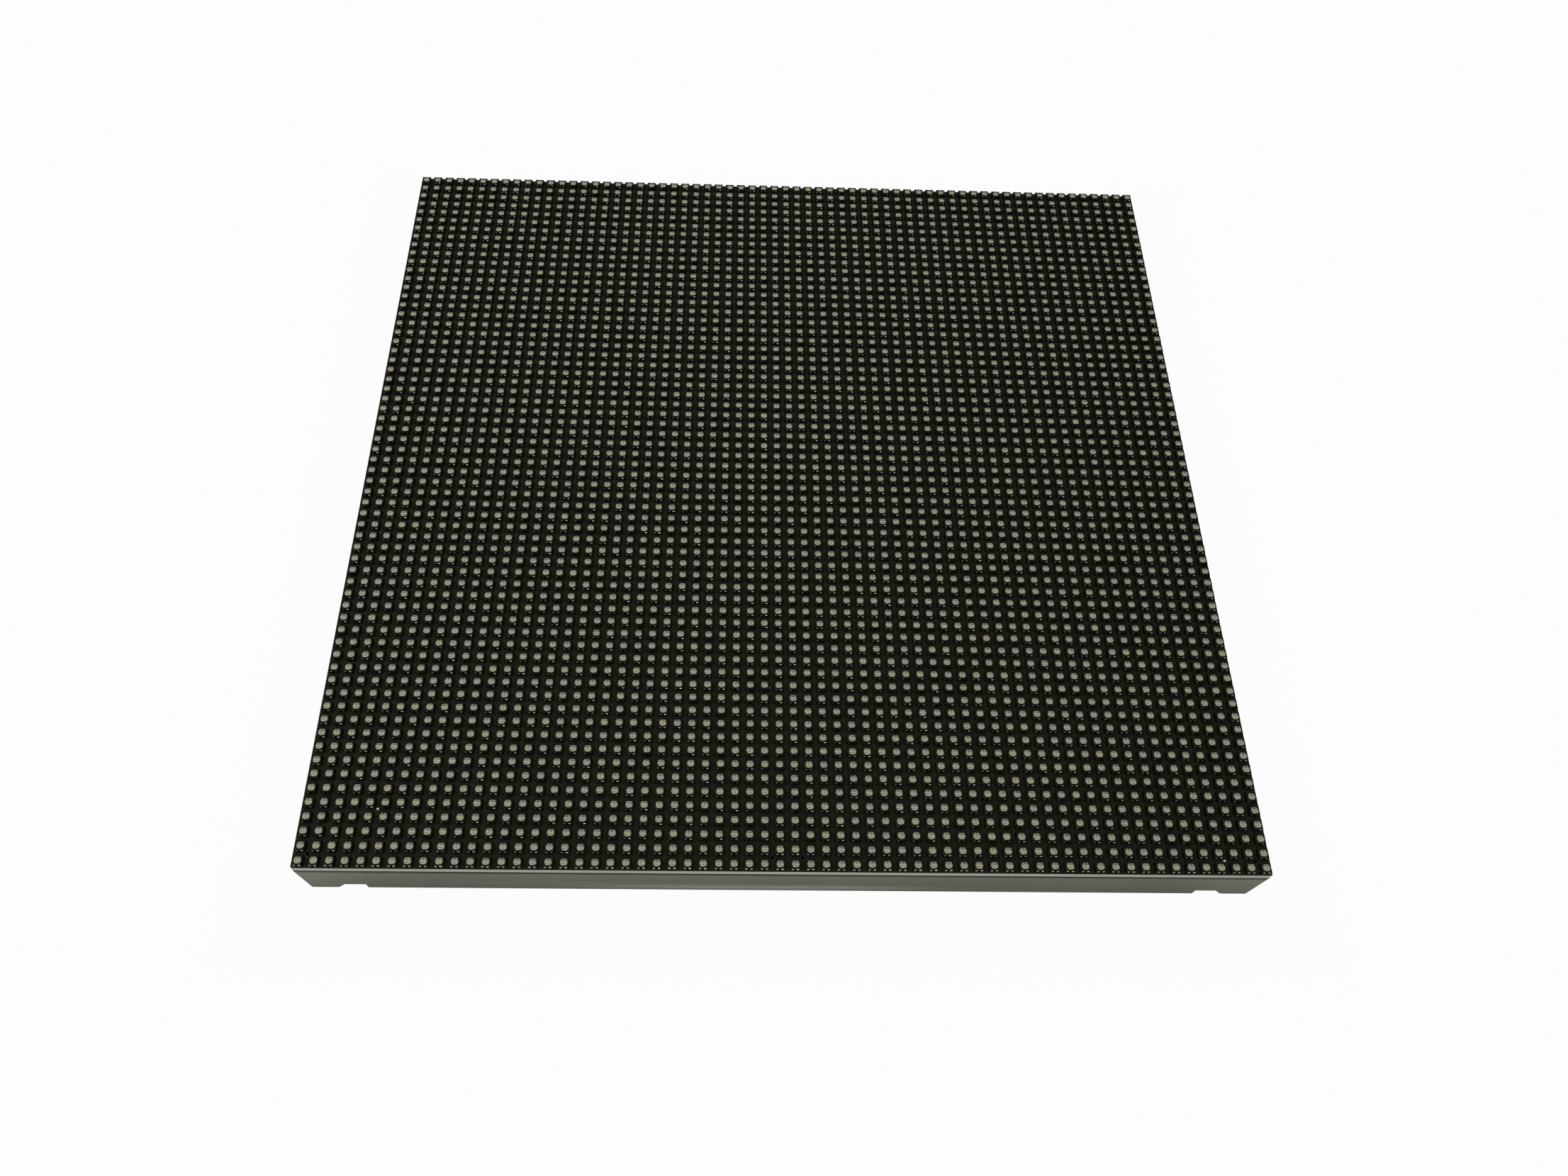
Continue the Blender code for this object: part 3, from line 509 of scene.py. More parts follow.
@dataclass(frozen=True)
class LedResin(LedCase):
    """The pale resin over the chips: each LED has its own tint, lead-frame gaps and cloudiness, and the
    upper part of each window is painted darker as painted shade.
    """

    relief: float = 0.02 * MM
    shift_x: float = 0.07
    shift_y: float = -0.02
    aged: Colour = (0.300, 0.295, 0.185)

    def paint(self, graph: ShaderGraph, spot: Socket) -> None:
        """Builds the nodes.

        Args:
            graph: the material's graph.
            spot: the point in millimetres.
        """
        x, y, _ = graph.axes(spot)
        cell = self.cell(graph, spot)
        luck, tint = graph.chance(cell)
        other, _ = graph.chance(graph.scaled(cell, (1.7, 2.3, 1.0)))
        across = self.within(x) - self.shift_x + luck.swing(0.08)
        along = self.within(y) - self.shift_y + other.swing(0.06)
        colour = graph.mixed(luck.rise(0.3, 1.0) * 0.45, self.colour, self.aged)
        colour = graph.mixed(0.03 + other.rise(0.80, 1.0) * 0.07, colour, tint, "SOFT_LIGHT")
        # Painted shade: the upper part of each window is painted darker.
        shade = along.rise(0.02, 0.26)
        slit = across.size().rise(0.19, 0.05) * along.rise(0.14, 0.34)
        crease = along.near(0.30, 0.08, 0.0)
        lower_gap = along.near(-0.30, 0.10) * across.rise(0.30, 0.12)
        split = (across + (along + 0.5) * 0.3).near(0.22, 0.10) * along.rise(-0.24, -0.38)
        side_gap = (across - along * 0.4).near(0.42, 0.12) * along.rise(-0.12, 0.06)
        left_gap = across.near(-0.42, 0.10) * along.rise(0.24, 0.06) * along.rise(-0.5, -0.2)
        rim = across.size().most(along.size()).rise(0.56, 0.72)
        cloud = graph.noise(spot, 2.6)
        lines = graph.noise(graph.scaled(spot, (1.0, 7.0, 1.0)), 1.0, 1.0)
        tone = 1.04 + luck.swing(0.13) + cloud.swing(1.05) + lines.swing(0.30)
        tone = tone - shade * 0.32 - slit * 0.42 - crease * 0.14 - lower_gap * 0.46 * (0.5 + luck)
        tone = tone - split * 0.46 - side_gap * 0.36 - left_gap * 0.20 * other - rim * 0.16
        rough = self.roughness + luck.swing(0.12)
        graph.dress(graph.lit(colour, tone), rough, cloud * 0.6 - slit * 0.4, self.relief)


@dataclass(frozen=True)
class LedSolder(LedCase):
    """Tinned LED terminals: some bends shine and others stay dim at random; the lower parts are darkened,
    partly as soldering residue and partly as painted shade; the left of each pair and the back terminals
    are painted duller as painted shade, and the front row is painted brighter as a painted highlight.
    """

    relief: float = 0.05 * MM
    # The bend shines above this height; below it the metal is painted dark.
    bright_from: float = 13.53
    front_row_highlight: tuple[float, float] = (-92.0, -93.5)
    flux_and_shade: Colour = (0.012, 0.012, 0.009)

    def paint(self, graph: ShaderGraph, spot: Socket) -> None:
        """Builds the nodes.

        Args:
            graph: the material's graph.
            spot: the point in millimetres.
        """
        x, y, z = graph.axes(spot)
        cell = self.cell(graph, spot, parts=2.0)
        luck, _ = graph.chance(cell)
        other, _ = graph.chance(graph.scaled(cell, (0.7, 1.9, 1.0)))
        lumps = graph.noise(spot, 3.5)
        # Painted shade: the left terminal of each pair is painted duller than the right.
        left = self.within(x).rise(0.1, -0.1)
        spread = other.rise(0.05, 0.80) * (0.58 - left * 0.42)
        # Painted highlight: the front row is painted less dim.
        dull_and_shade = (0.42 + spread + left * 0.41) * (1.0 - y.rise(*self.front_row_highlight) * 0.45)
        # Painted shade: below the bend and on the back terminals the metal is painted dark, partly as
        # soldering residue.
        foot = z.rise(self.bright_from, self.bright_from - 0.07)
        flux_and_shade = dull_and_shade.most(foot.most(self.within(y).rise(0.0, 0.2)) * 0.98)
        rough = self.roughness + luck * 0.25 + flux_and_shade * 0.25
        graph.dress(graph.mixed(flux_and_shade, self.colour, self.flux_and_shade), rough, lumps, self.relief)
        graph.feed(graph.shader.inputs["Metallic"], 1.0 - flux_and_shade * 0.8)


@dataclass(frozen=True)
class BareMetal(Finish):
    """Plated or drawn metal: brushed lines and cloudy tarnish."""

    relief: float = 0.006 * MM
    brushed: tuple[float, float, float] = (0.8, 0.8, 6.0)
    tarnish: float = 0.15

    def paint(self, graph: ShaderGraph, spot: Socket) -> None:
        """Builds the nodes.

        Args:
            graph: the material's graph.
            spot: the point in millimetres.
        """
        lines = graph.noise(graph.scaled(spot, self.brushed), 1.0, 3.0, 0.7)
        clouds = graph.noise(spot, 0.5, 3.0, 0.6)
        dark = tuple(part * 0.45 for part in self.colour)
        colour = graph.mixed(clouds.rise(0.45, 0.75) * self.tarnish, self.colour, dark)
        graph.dress(colour, self.roughness + clouds.swing(0.2) + lines.swing(0.12), lines, self.relief)
        graph.shader.inputs["Metallic"].default_value = 1.0


@dataclass(frozen=True)
class Ceramic(Finish):
    """Small fired or printed bodies: fine speckle, each with its own shade."""

    def paint(self, graph: ShaderGraph, spot: Socket) -> None:
        """Builds the nodes.

        Args:
            graph: the material's graph.
            spot: the point in millimetres.
        """
        speckle = graph.noise(spot, 8.0, 3.0, 0.7)
        shade = graph.noise(spot, 0.25, 1.0)
        colour = graph.lit(self.colour, 0.75 + speckle * 0.2 + shade * 0.3)
        graph.dress(colour, self.roughness + speckle.swing(0.2), speckle, self.relief)


FRONT_MASK = SolderMask(
    name="black_mask_front",
    slot="black_board",
    colour=(0.0162, 0.0172, 0.0094),
    roughness=0.62,
    specular=0.08,
    specks=((-80.95, -83.6, 0.30), (-3.4, -55.75, 0.18), (86.77, -92.88, 0.30)),
    scratches=((-83.5, -90.2, -80.3, -89.6), (92.8, -95.2, 94.6, -93.9), (-95.2, -91.4, -92.4, -93.9)),
    rings=((93.0, -93.0), (-93.0, -93.0)),
    led_pitch=LED_PITCH,
)
BACK_MASK = SolderMask("black_mask_back", "black_board", (0.0078, 0.0078, 0.0060), 0.42)
TRACE_MASK = SolderMask("masked_copper", "black_board", (0.034, 0.031, 0.017), 0.34)
BARE_EDGE = SawnLaminate("sawn_laminate", "bare_board_edge", (0.370, 0.380, 0.320), 0.7, specular=0.3)
LED_CASE = LedCase("led_case", "black_board", (0.0100, 0.0106, 0.0052), 0.7, specular=0.05)
LED_RESIN = LedResin("led_resin", "led_lens", (0.302, 0.304, 0.238), 0.55, specular=0.3)
LED_SOLDER = LedSolder("led_solder", "solder", (0.80, 0.80, 0.72), 0.22, specular=0.05)
FRAME_PLASTIC = MouldedPlastic(
    "frame_moulding", "grey_moulding", (0.134, 0.139, 0.104), 0.55, specular=0.3, paints_wall_light=True
)
BLACK_NYLON = MouldedPlastic("black_header_nylon", "black_nylon", (0.014, 0.014, 0.014), 0.45, streak=0.04)
WHITE_NYLON = MouldedPlastic("white_header_nylon", "white_nylon", (0.76, 0.73, 0.64), 0.4, streak=0.02)
CHIP_EPOXY = MouldedPlastic(
    name="chip_epoxy",
    slot="black_epoxy",
    colour=(0.013, 0.013, 0.014),
    roughness=0.55,
    streak=0.02,
    relief=0.008 * MM,
    grain_scale=11.0,
)
ALUMINIUM = BareMetal("drawn_aluminium", "aluminium_can", (0.72, 0.72, 0.72), 0.3)
CAN_INK = Ceramic("can_ink", "aluminium_can", (0.012, 0.012, 0.013), 0.4)
BRASS = BareMetal("turned_brass", "brass", (0.75, 0.56, 0.26), 0.28)
PIN_GOLD = BareMetal("plated_pin", "brass", (0.86, 0.66, 0.30), 0.2, tarnish=0.08)
ZINC = BareMetal("zinc_plate", "zinc_steel", (0.62, 0.63, 0.64), 0.32)
TIN = BareMetal("tin", "tinned_steel", (0.72, 0.71, 0.68), 0.3)
PAD_SOLDER = BareMetal("pad_solder", "solder", (0.66, 0.66, 0.62), 0.25, brushed=(2, 2, 2))
RESISTOR_BLACK = Ceramic("resistor_glaze", "black_epoxy", (0.015, 0.015, 0.016), 0.3)
CAPACITOR_TAN = Ceramic("capacitor_ceramic", "white_nylon", (0.30, 0.19, 0.10), 0.5)
SILK_WHITE = Ceramic("silk_ink", "white_nylon", (0.62, 0.62, 0.58), 0.6)


class Pick(Enum):
    """The kinds of mesh element that can be chosen."""

    POINTS = "VERT"
    EDGES = "EDGE"
    FACES = "FACE"


def everywhere(centre: Vector, direction: Vector) -> bool:
    """A test that every element passes."""
    return True


def looking_up(centre: Vector, normal: Vector) -> bool:
    """A test for faces that look up."""
    return normal.z > 0.9


def looking_down(centre: Vector, normal: Vector) -> bool:
    """A test for faces that look down."""
    return normal.z < -0.9


def upright(centre: Vector, direction: Vector) -> bool:
    """A test for edges that stand up."""
    return abs(direction.z) > 0.9


def at(**spot: float) -> Test:
    """A test for elements whose centre has the wanted coordinates.

    Args:
        spot: the coordinates by axis, as in at(z=0.01).

    Returns:
        The test.
    """
    return lambda centre, direction: all(abs(getattr(centre, key) - spot[key]) < CLOSE for key in spot)


def deselect_all() -> None:
    """Clears the selection, which the loaded nodes start with."""
    bpy.ops.object.select_all(action="DESELECT")


def activate(*pieces: Piece) -> None:
    """Selects the pieces alone, with the first active."""
    deselect_all()
    for piece in pieces:
        piece.select_set(True)
    bpy.context.view_layer.objects.active = pieces[0]


def label(piece: Piece, name: str) -> Piece:
    """Names a piece and its mesh.

    Args:
        piece: the piece.
        name: its name.

    Returns:
        The piece.
    """
    piece.name = name
    piece.data.name = name
    return piece


def named(name: str) -> Piece:
    """Names the new primitive and puts its place into its mesh."""
    bpy.ops.object.transform_apply(location=True, rotation=True, scale=True)
    return label(bpy.context.active_object, name)


def block(name: str, low: Sequence[float], high: Sequence[float]) -> Piece:
    """Adds a box between two corners.

    Args:
        name: the piece's name.
        low: the lowest corner.
        high: the highest corner.

    Returns:
        The piece.
    """
    low, high = Vector(low), Vector(high)
    deselect_all()
    bpy.ops.mesh.primitive_cube_add(size=1.0, location=(low + high) / 2, scale=high - low)
    return named(name)


def rod(name: str, centre: Place, radius: float, low: float, high: float, sides: int) -> Piece:
    """Adds an upright cylinder.

    Args:
        name: the piece's name.
        centre: its axis in plan.
        radius: its radius.
        low: its lower end.
        high: its upper end.
        sides: its number of sides.

    Returns:
        The piece.
    """
    deselect_all()
    place = (*centre, (low + high) / 2)
    bpy.ops.mesh.primitive_cylinder_add(vertices=sides, radius=radius, depth=high - low, location=place)
    return named(name)


@contextmanager
def editing(piece: Piece, pick: Pick, test: Test = everywhere) -> Iterator[None]:
    """Opens a piece in edit mode with the wanted elements selected.

    Args:
        piece: the piece.
        pick: the kind of element.
        test: says from its centre and its direction if an element is wanted.

    Yields:
        Nothing; edit mode ends after the block.
    """
    activate(piece)
    bpy.ops.object.mode_set(mode="EDIT")
    bpy.ops.mesh.select_mode(type=pick.value)
    bpy.ops.mesh.select_all(action="DESELECT")
    mesh = bmesh.from_edit_mesh(piece.data)
    if pick is Pick.POINTS:
        wanted = [vert for vert in mesh.verts if test(vert.co, vert.normal)]
    elif pick is Pick.EDGES:
        ends = [(edge, edge.verts[0].co, edge.verts[1].co) for edge in mesh.edges]
        wanted = [edge for edge, a, b in ends if test((a + b) / 2, (b - a).normalized())]
    else:
        wanted = [face for face in mesh.faces if test(face.calc_center_median(), face.normal)]
    for element in wanted:
        element.select_set(True)
    mesh.select_flush_mode()
    bmesh.update_edit_mesh(piece.data)
    yield
    bpy.ops.object.mode_set(mode="OBJECT")


def bevel(piece: Piece, test: Test, width: float, segments: int = 1) -> None:
    """Bevels the edges that pass the test, by a width and in a number of steps."""
    with editing(piece, Pick.EDGES, test):
        bpy.ops.mesh.bevel(offset=width, segments=segments, profile=0.5, affect="EDGES", clamp_overlap=True)


def inset(piece: Piece, test: Test, thickness: float, depth: float = 0.0) -> None:
    """Insets the faces that pass the test, and raises or sinks what is inside.

    Args:
        piece: the piece.
        test: says which faces.
        thickness: the border's width.
        depth: how far the inner face moves along its normal.
    """
    with editing(piece, Pick.FACES, test):
        bpy.ops.mesh.inset(thickness=thickness, depth=depth)


def extrude(piece: Piece, pick: Pick, test: Test, *moves: Sequence[float]) -> None:
    """Extrudes the elements that pass the test, once for each move.

    Args:
        piece: the piece.
        pick: the kind of element.
        test: says which elements.
        moves: the steps, one after the other.
    """
    with editing(piece, pick, test):
        for move in moves:
            bpy.ops.mesh.extrude_region_move(TRANSFORM_OT_translate={"value": tuple(move)})


def resize(piece: Piece, test: Test, factors: Sequence[float], centre: Sequence[float]) -> None:
    """Scales the faces that pass the test about a point, by a factor along each axis."""
    with editing(piece, Pick.FACES, test):
        bpy.ops.transform.resize(value=tuple(factors), center_override=tuple(centre))


def upright_pin(name: str, spot: Place, side: float, ends: Place, tip: float, taper: float) -> Piece:
    """Adds an upright square pin that narrows at its upper end.

    Args:
        name: the piece's name.
        spot: its axis in plan.
        side: its thickness.
        ends: its lower and its upper end.
        tip: the length over which it narrows.
        taper: its end's width as a share of its thickness.

    Returns:
        The piece.
    """
    (x, y), (low, top), wide = spot, ends, side / 2
    pin = block(name, (x - wide, y - wide, low), (x + wide, y + wide, top - tip))
    extrude(pin, Pick.FACES, looking_up, (0.0, 0.0, tip))
    resize(pin, looking_up, (taper, taper, 1.0), (x, y, top))
    return pin


def split(piece: Piece, point: Sequence[float], normal: Sequence[float]) -> None:
    """Cuts all faces along a plane, given by a point and a normal, and takes nothing away."""
    with editing(piece, Pick.FACES):
        bpy.ops.mesh.bisect(plane_co=tuple(point), plane_no=tuple(normal))


def apply_modifier(piece: Piece, kind: str, **settings: object) -> None:
    """Adds a modifier with its settings and applies it.

    Args:
        piece: the piece.
        kind: the modifier's type.
        settings: its properties.
    """
    activate(piece)
    modifier = piece.modifiers.new(kind.lower(), kind)
    for name, value in settings.items():
        setattr(modifier, name, value)
    bpy.ops.object.modifier_apply(modifier=modifier.name)


def repeat(piece: Piece, count: int, step: Sequence[float]) -> None:
    """Repeats a piece in a row of so many, with a step from each to the next."""
    offset = {"use_relative_offset": False, "use_constant_offset": True, "use_merge_vertices": False}
    apply_modifier(piece, "ARRAY", count=count, constant_offset_displace=tuple(step), **offset)


def cut(piece: Piece, tool: Piece) -> None:
    """Cuts the tool's shape out of the piece and removes the tool."""
    apply_modifier(piece, "BOOLEAN", operation="DIFFERENCE", solver="EXACT", object=tool)
    bpy.data.objects.remove(tool, do_unlink=True)


def copy_of(piece: Piece, name: str, move: Matrix) -> Piece:
    """A moved copy with its own mesh.

    Args:
        piece: the piece to copy.
        name: the copy's name.
        move: the copy's place from the original's.

    Returns:
        The copy.
    """
    made = piece.copy()
    made.data = piece.data.copy()
    made.data.transform(move)
    bpy.context.scene.collection.objects.link(made)
    return label(made, name)


def joined(name: str, pieces: Sequence[Piece]) -> Piece:
    """Fuses pieces into one object, and uses them up.

    Args:
        name: the name of the whole.
        pieces: the pieces, which are used up.

    Returns:
        The whole.
    """
    activate(*pieces)
    bpy.ops.object.join()
    return label(bpy.context.active_object, name)


def copies(piece: Piece, name: str, moves: Sequence[Matrix]) -> Piece:
    """A piece at each of several places, fused; the original is used up.

    Args:
        piece: the piece to copy.
        name: the name of the whole.
        moves: the places.

    Returns:
        The whole.
    """
    made = [copy_of(piece, f"{name}_{number}", move) for number, move in enumerate(moves, 1)]
    bpy.data.objects.remove(piece, do_unlink=True)
    return joined(name, made)


def both_ways(piece: Piece, name: str) -> Piece:
    """A piece and its copy on the other side of the Z axis, fused."""
    return copies(piece, name, [Matrix.Identity(4), Matrix.Rotation(math.pi, 4, "Z")])


def turned(name: str, profile: Sequence[Place], steps: int) -> Piece:
    """Draws a profile point by point and spins it round the Z axis.

    Args:
        name: the piece's name.
        profile: (radius, height) points; closed if the last repeats the first.
        steps: the number of sides.

    Returns:
        The piece.
    """
    deselect_all()
    start = Vector((profile[0][0], 0.0, profile[0][1]))
    bpy.ops.mesh.primitive_plane_add(size=MM, location=start)
    piece = named(name)
    with editing(piece, Pick.POINTS):
        bpy.ops.mesh.merge(type="CENTER")
        for (radius, height), (next_radius, next_height) in zip(profile, profile[1:]):
            move = (next_radius - radius, 0.0, next_height - height)
            bpy.ops.mesh.extrude_region_move(TRANSFORM_OT_translate={"value": move})
        bpy.ops.mesh.select_all(action="SELECT")
        bpy.ops.mesh.spin(steps=steps, angle=math.tau, center=(0, 0, 0), axis=(0, 0, 1))
        bpy.ops.mesh.select_all(action="SELECT")
        bpy.ops.mesh.remove_doubles(threshold=WELD)
        bpy.ops.mesh.normals_make_consistent(inside=False)
    return piece


def settle(
    piece: Piece,
    finish: Finish,
    replaces: Sequence[str] = (),
    angle: float = 35.0,
    move: Matrix | None = None,
) -> None:
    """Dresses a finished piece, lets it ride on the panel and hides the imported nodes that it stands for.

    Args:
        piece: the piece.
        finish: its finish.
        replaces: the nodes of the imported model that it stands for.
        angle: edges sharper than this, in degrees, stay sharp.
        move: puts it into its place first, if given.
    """
    if move is not None:
        piece.data.transform(move)
    if not piece.data.materials:
        piece.data.materials.append(finish.material())
    activate(piece)
    bpy.ops.object.shade_smooth_by_angle(angle=math.radians(angle))
    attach(piece, BODY)
    if replaces:
        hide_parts(*replaces)
    LOG.info("%s: %d faces", piece.name, len(piece.data.polygons))


def nodes_like(start: str) -> list[str]:
    """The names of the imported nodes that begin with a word, in order."""
    return sorted(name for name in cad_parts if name.startswith(start))


def middle(node: str) -> Vector:
    """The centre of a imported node's box."""
    low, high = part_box(node)
    return (low + high) / 2


def over(names: Sequence[str], height: float = 0.0) -> list[Matrix]:
    """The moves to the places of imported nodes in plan, at one height."""
    return [Matrix.Translation((*middle(name).xy, height)) for name in names]


def under(names: Sequence[str], back: float) -> list[Matrix]:
    """The moves that hang what stands on zero from the board's back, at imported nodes."""
    return [move @ Matrix.Rotation(math.pi, 4, "X") for move in over(names, back)]


@dataclass
class LedField:
    """The 64 by 64 LEDs: black cases, pale resin and soldered terminals."""

    pitch: float = LED_PITCH * MM
    per_side: int = LEDS_PER_SIDE
    case_width: float = 2.1 * MM
    case_depth: float = 1.98 * MM
    case_edge: float = 0.10 * MM
    resin_side: float = 1.43 * MM
    resin_round: float = 0.55 * MM
    resin_shift: Place = (0.07 * MM, -0.02 * MM)
    resin_proud: float = 0.02 * MM
    resin_depth: float = 0.04 * MM
    resin_taper: float = 0.95
    terminal_width: float = 0.46 * MM
    terminal_spread: float = 1.00 * MM
    terminal_drop: float = 0.20 * MM
    terminal_reach: float = 0.09 * MM
    terminal_root: float = 0.02 * MM
    bend: float = 0.06 * MM
    fillet_height: float = 0.16 * MM
    fillet_reach: float = 0.12 * MM
    most_shift: float = 0.022 * MM
    most_turn: float = 0.8
    smooth_below: float = 25.0
    seed: int = 11

    def corner(self) -> float:
        """The first LED's centre, along both axes."""
        return -(self.per_side - 1) * self.pitch / 2

    def build(self, board_front: float, top: float) -> None:
        """Builds the LEDs.

        Args:
            board_front: the height of the board's face.
            top: the height of the resin's face.
        """
        everyone, half = range(self.per_side), self.per_side // 2
        self.lay(self.case(board_front, top - self.resin_proud), LED_CASE, everyone)
        for part, rows in enumerate((everyone[:half], everyone[half:]), 1):
            self.lay(self.resin(f"led_resin_windows_{part}", top), LED_RESIN, rows)
        for side, word in zip(SIDES, ("front", "back")):
            bend = top - self.terminal_drop
            pair = self.terminals(f"led_terminals_{word}", side, board_front, bend)
            self.lay(pair, LED_SOLDER, everyone)

    def case(self, low: float, high: float) -> Piece:
        """One black case with its upper edges broken.

        Args:
            low: the height of its foot.
            high: the height of its top.

        Returns:
            The case.
        """
        x, wide, deep = self.corner(), self.case_width / 2, self.case_depth / 2
        piece = block("led_cases", (x - wide, x - deep, low), (x + wide, x + deep, high))
        bevel(piece, at(z=high), self.case_edge)
        return piece

    def resin(self, name: str, top: float) -> Piece:
        """One resin window: a square with round corners and a sloping rim.

        Args:
            name: the piece's name.
            top: the height of its face.

        Returns:
            The window.
        """
        half = self.resin_side / 2
        x, y = (self.corner() + step for step in self.resin_shift)
        piece = block(name, (x - half, y - half, top - self.resin_depth), (x + half, y + half, top))
        bevel(piece, upright, self.resin_round, segments=3)
        resize(piece, looking_up, (self.resin_taper, self.resin_taper, 1.0), (x, y, top))
        return piece

    def terminals(self, name: str, side: int, low: float, high: float) -> Piece:
        """The two bent terminals on one side of an LED, with a solder fillet at their feet.

        Args:
            name: the piece's name.
            side: -1 for the front, 1 for the back.
            low: the height of the board's face.
            high: the height of the bend.

        Returns:
            The two terminals, fused.
        """
        wall = self.corner() + side * self.case_depth / 2
        outer = wall + side * self.terminal_reach
        left = self.corner() - (self.terminal_spread + self.terminal_width) / 2
        near, far = sorted((wall - side * self.terminal_root, outer))
        piece = block(name, (left, near, low), (left + self.terminal_width, far, high))
        split(piece, (0.0, 0.0, low + self.fillet_height), (0.0, 0.0, 1.0))
        bevel(piece, at(y=outer, z=high), self.bend)
        with editing(piece, Pick.EDGES, at(y=outer, z=low)):
            bpy.ops.transform.translate(value=(0.0, side * self.fillet_reach, 0.0))
        repeat(piece, 2, (self.terminal_spread, 0.0, 0.0))
        return piece

    def lay(self, piece: Piece, finish: Finish, rows: range) -> None:
        """Repeats one LED's piece over the field, and gives each its own small turn and shift.

        Args:
            piece: the first LED's piece.
            finish: its finish.
            rows: the rows of the field that get it.
        """
        points = len(piece.data.vertices)
        piece.data.transform(Matrix.Translation((0.0, rows.start * self.pitch, 0.0)))
        repeat(piece, self.per_side, (self.pitch, 0.0, 0.0))
        repeat(piece, len(rows), (0.0, self.pitch, 0.0))
        whole, count = self.per_side**2, len(rows) * self.per_side
        part = slice(rows.start * self.per_side, rows.stop * self.per_side)
        flat = np.empty(count * points * 3, np.float32)
        piece.data.vertices.foreach_get("co", flat)
        spots = flat.reshape(count, points, 3)
        draw = np.random.default_rng(self.seed)
        shift = draw.uniform(-self.most_shift, self.most_shift, (whole, 1, 2))[part]
        turn = np.radians(draw.uniform(-self.most_turn, self.most_turn, whole))[part]
        steps = self.corner() + self.pitch * np.arange(self.per_side)
        centres = np.stack(np.meshgrid(steps, steps), axis=-1).reshape(whole, 1, 2)[part]
        local = spots[:, :, :2] - centres
        cos, sin = np.cos(turn)[:, None], np.sin(turn)[:, None]
        spots[:, :, 0] = centres[:, :, 0] + shift[:, :, 0] + local[:, :, 0] * cos - local[:, :, 1] * sin
        spots[:, :, 1] = centres[:, :, 1] + shift[:, :, 1] + local[:, :, 0] * sin + local[:, :, 1] * cos
        piece.data.vertices.foreach_set("co", spots.ravel())
        piece.data.update()
        settle(piece, finish, angle=self.smooth_below)


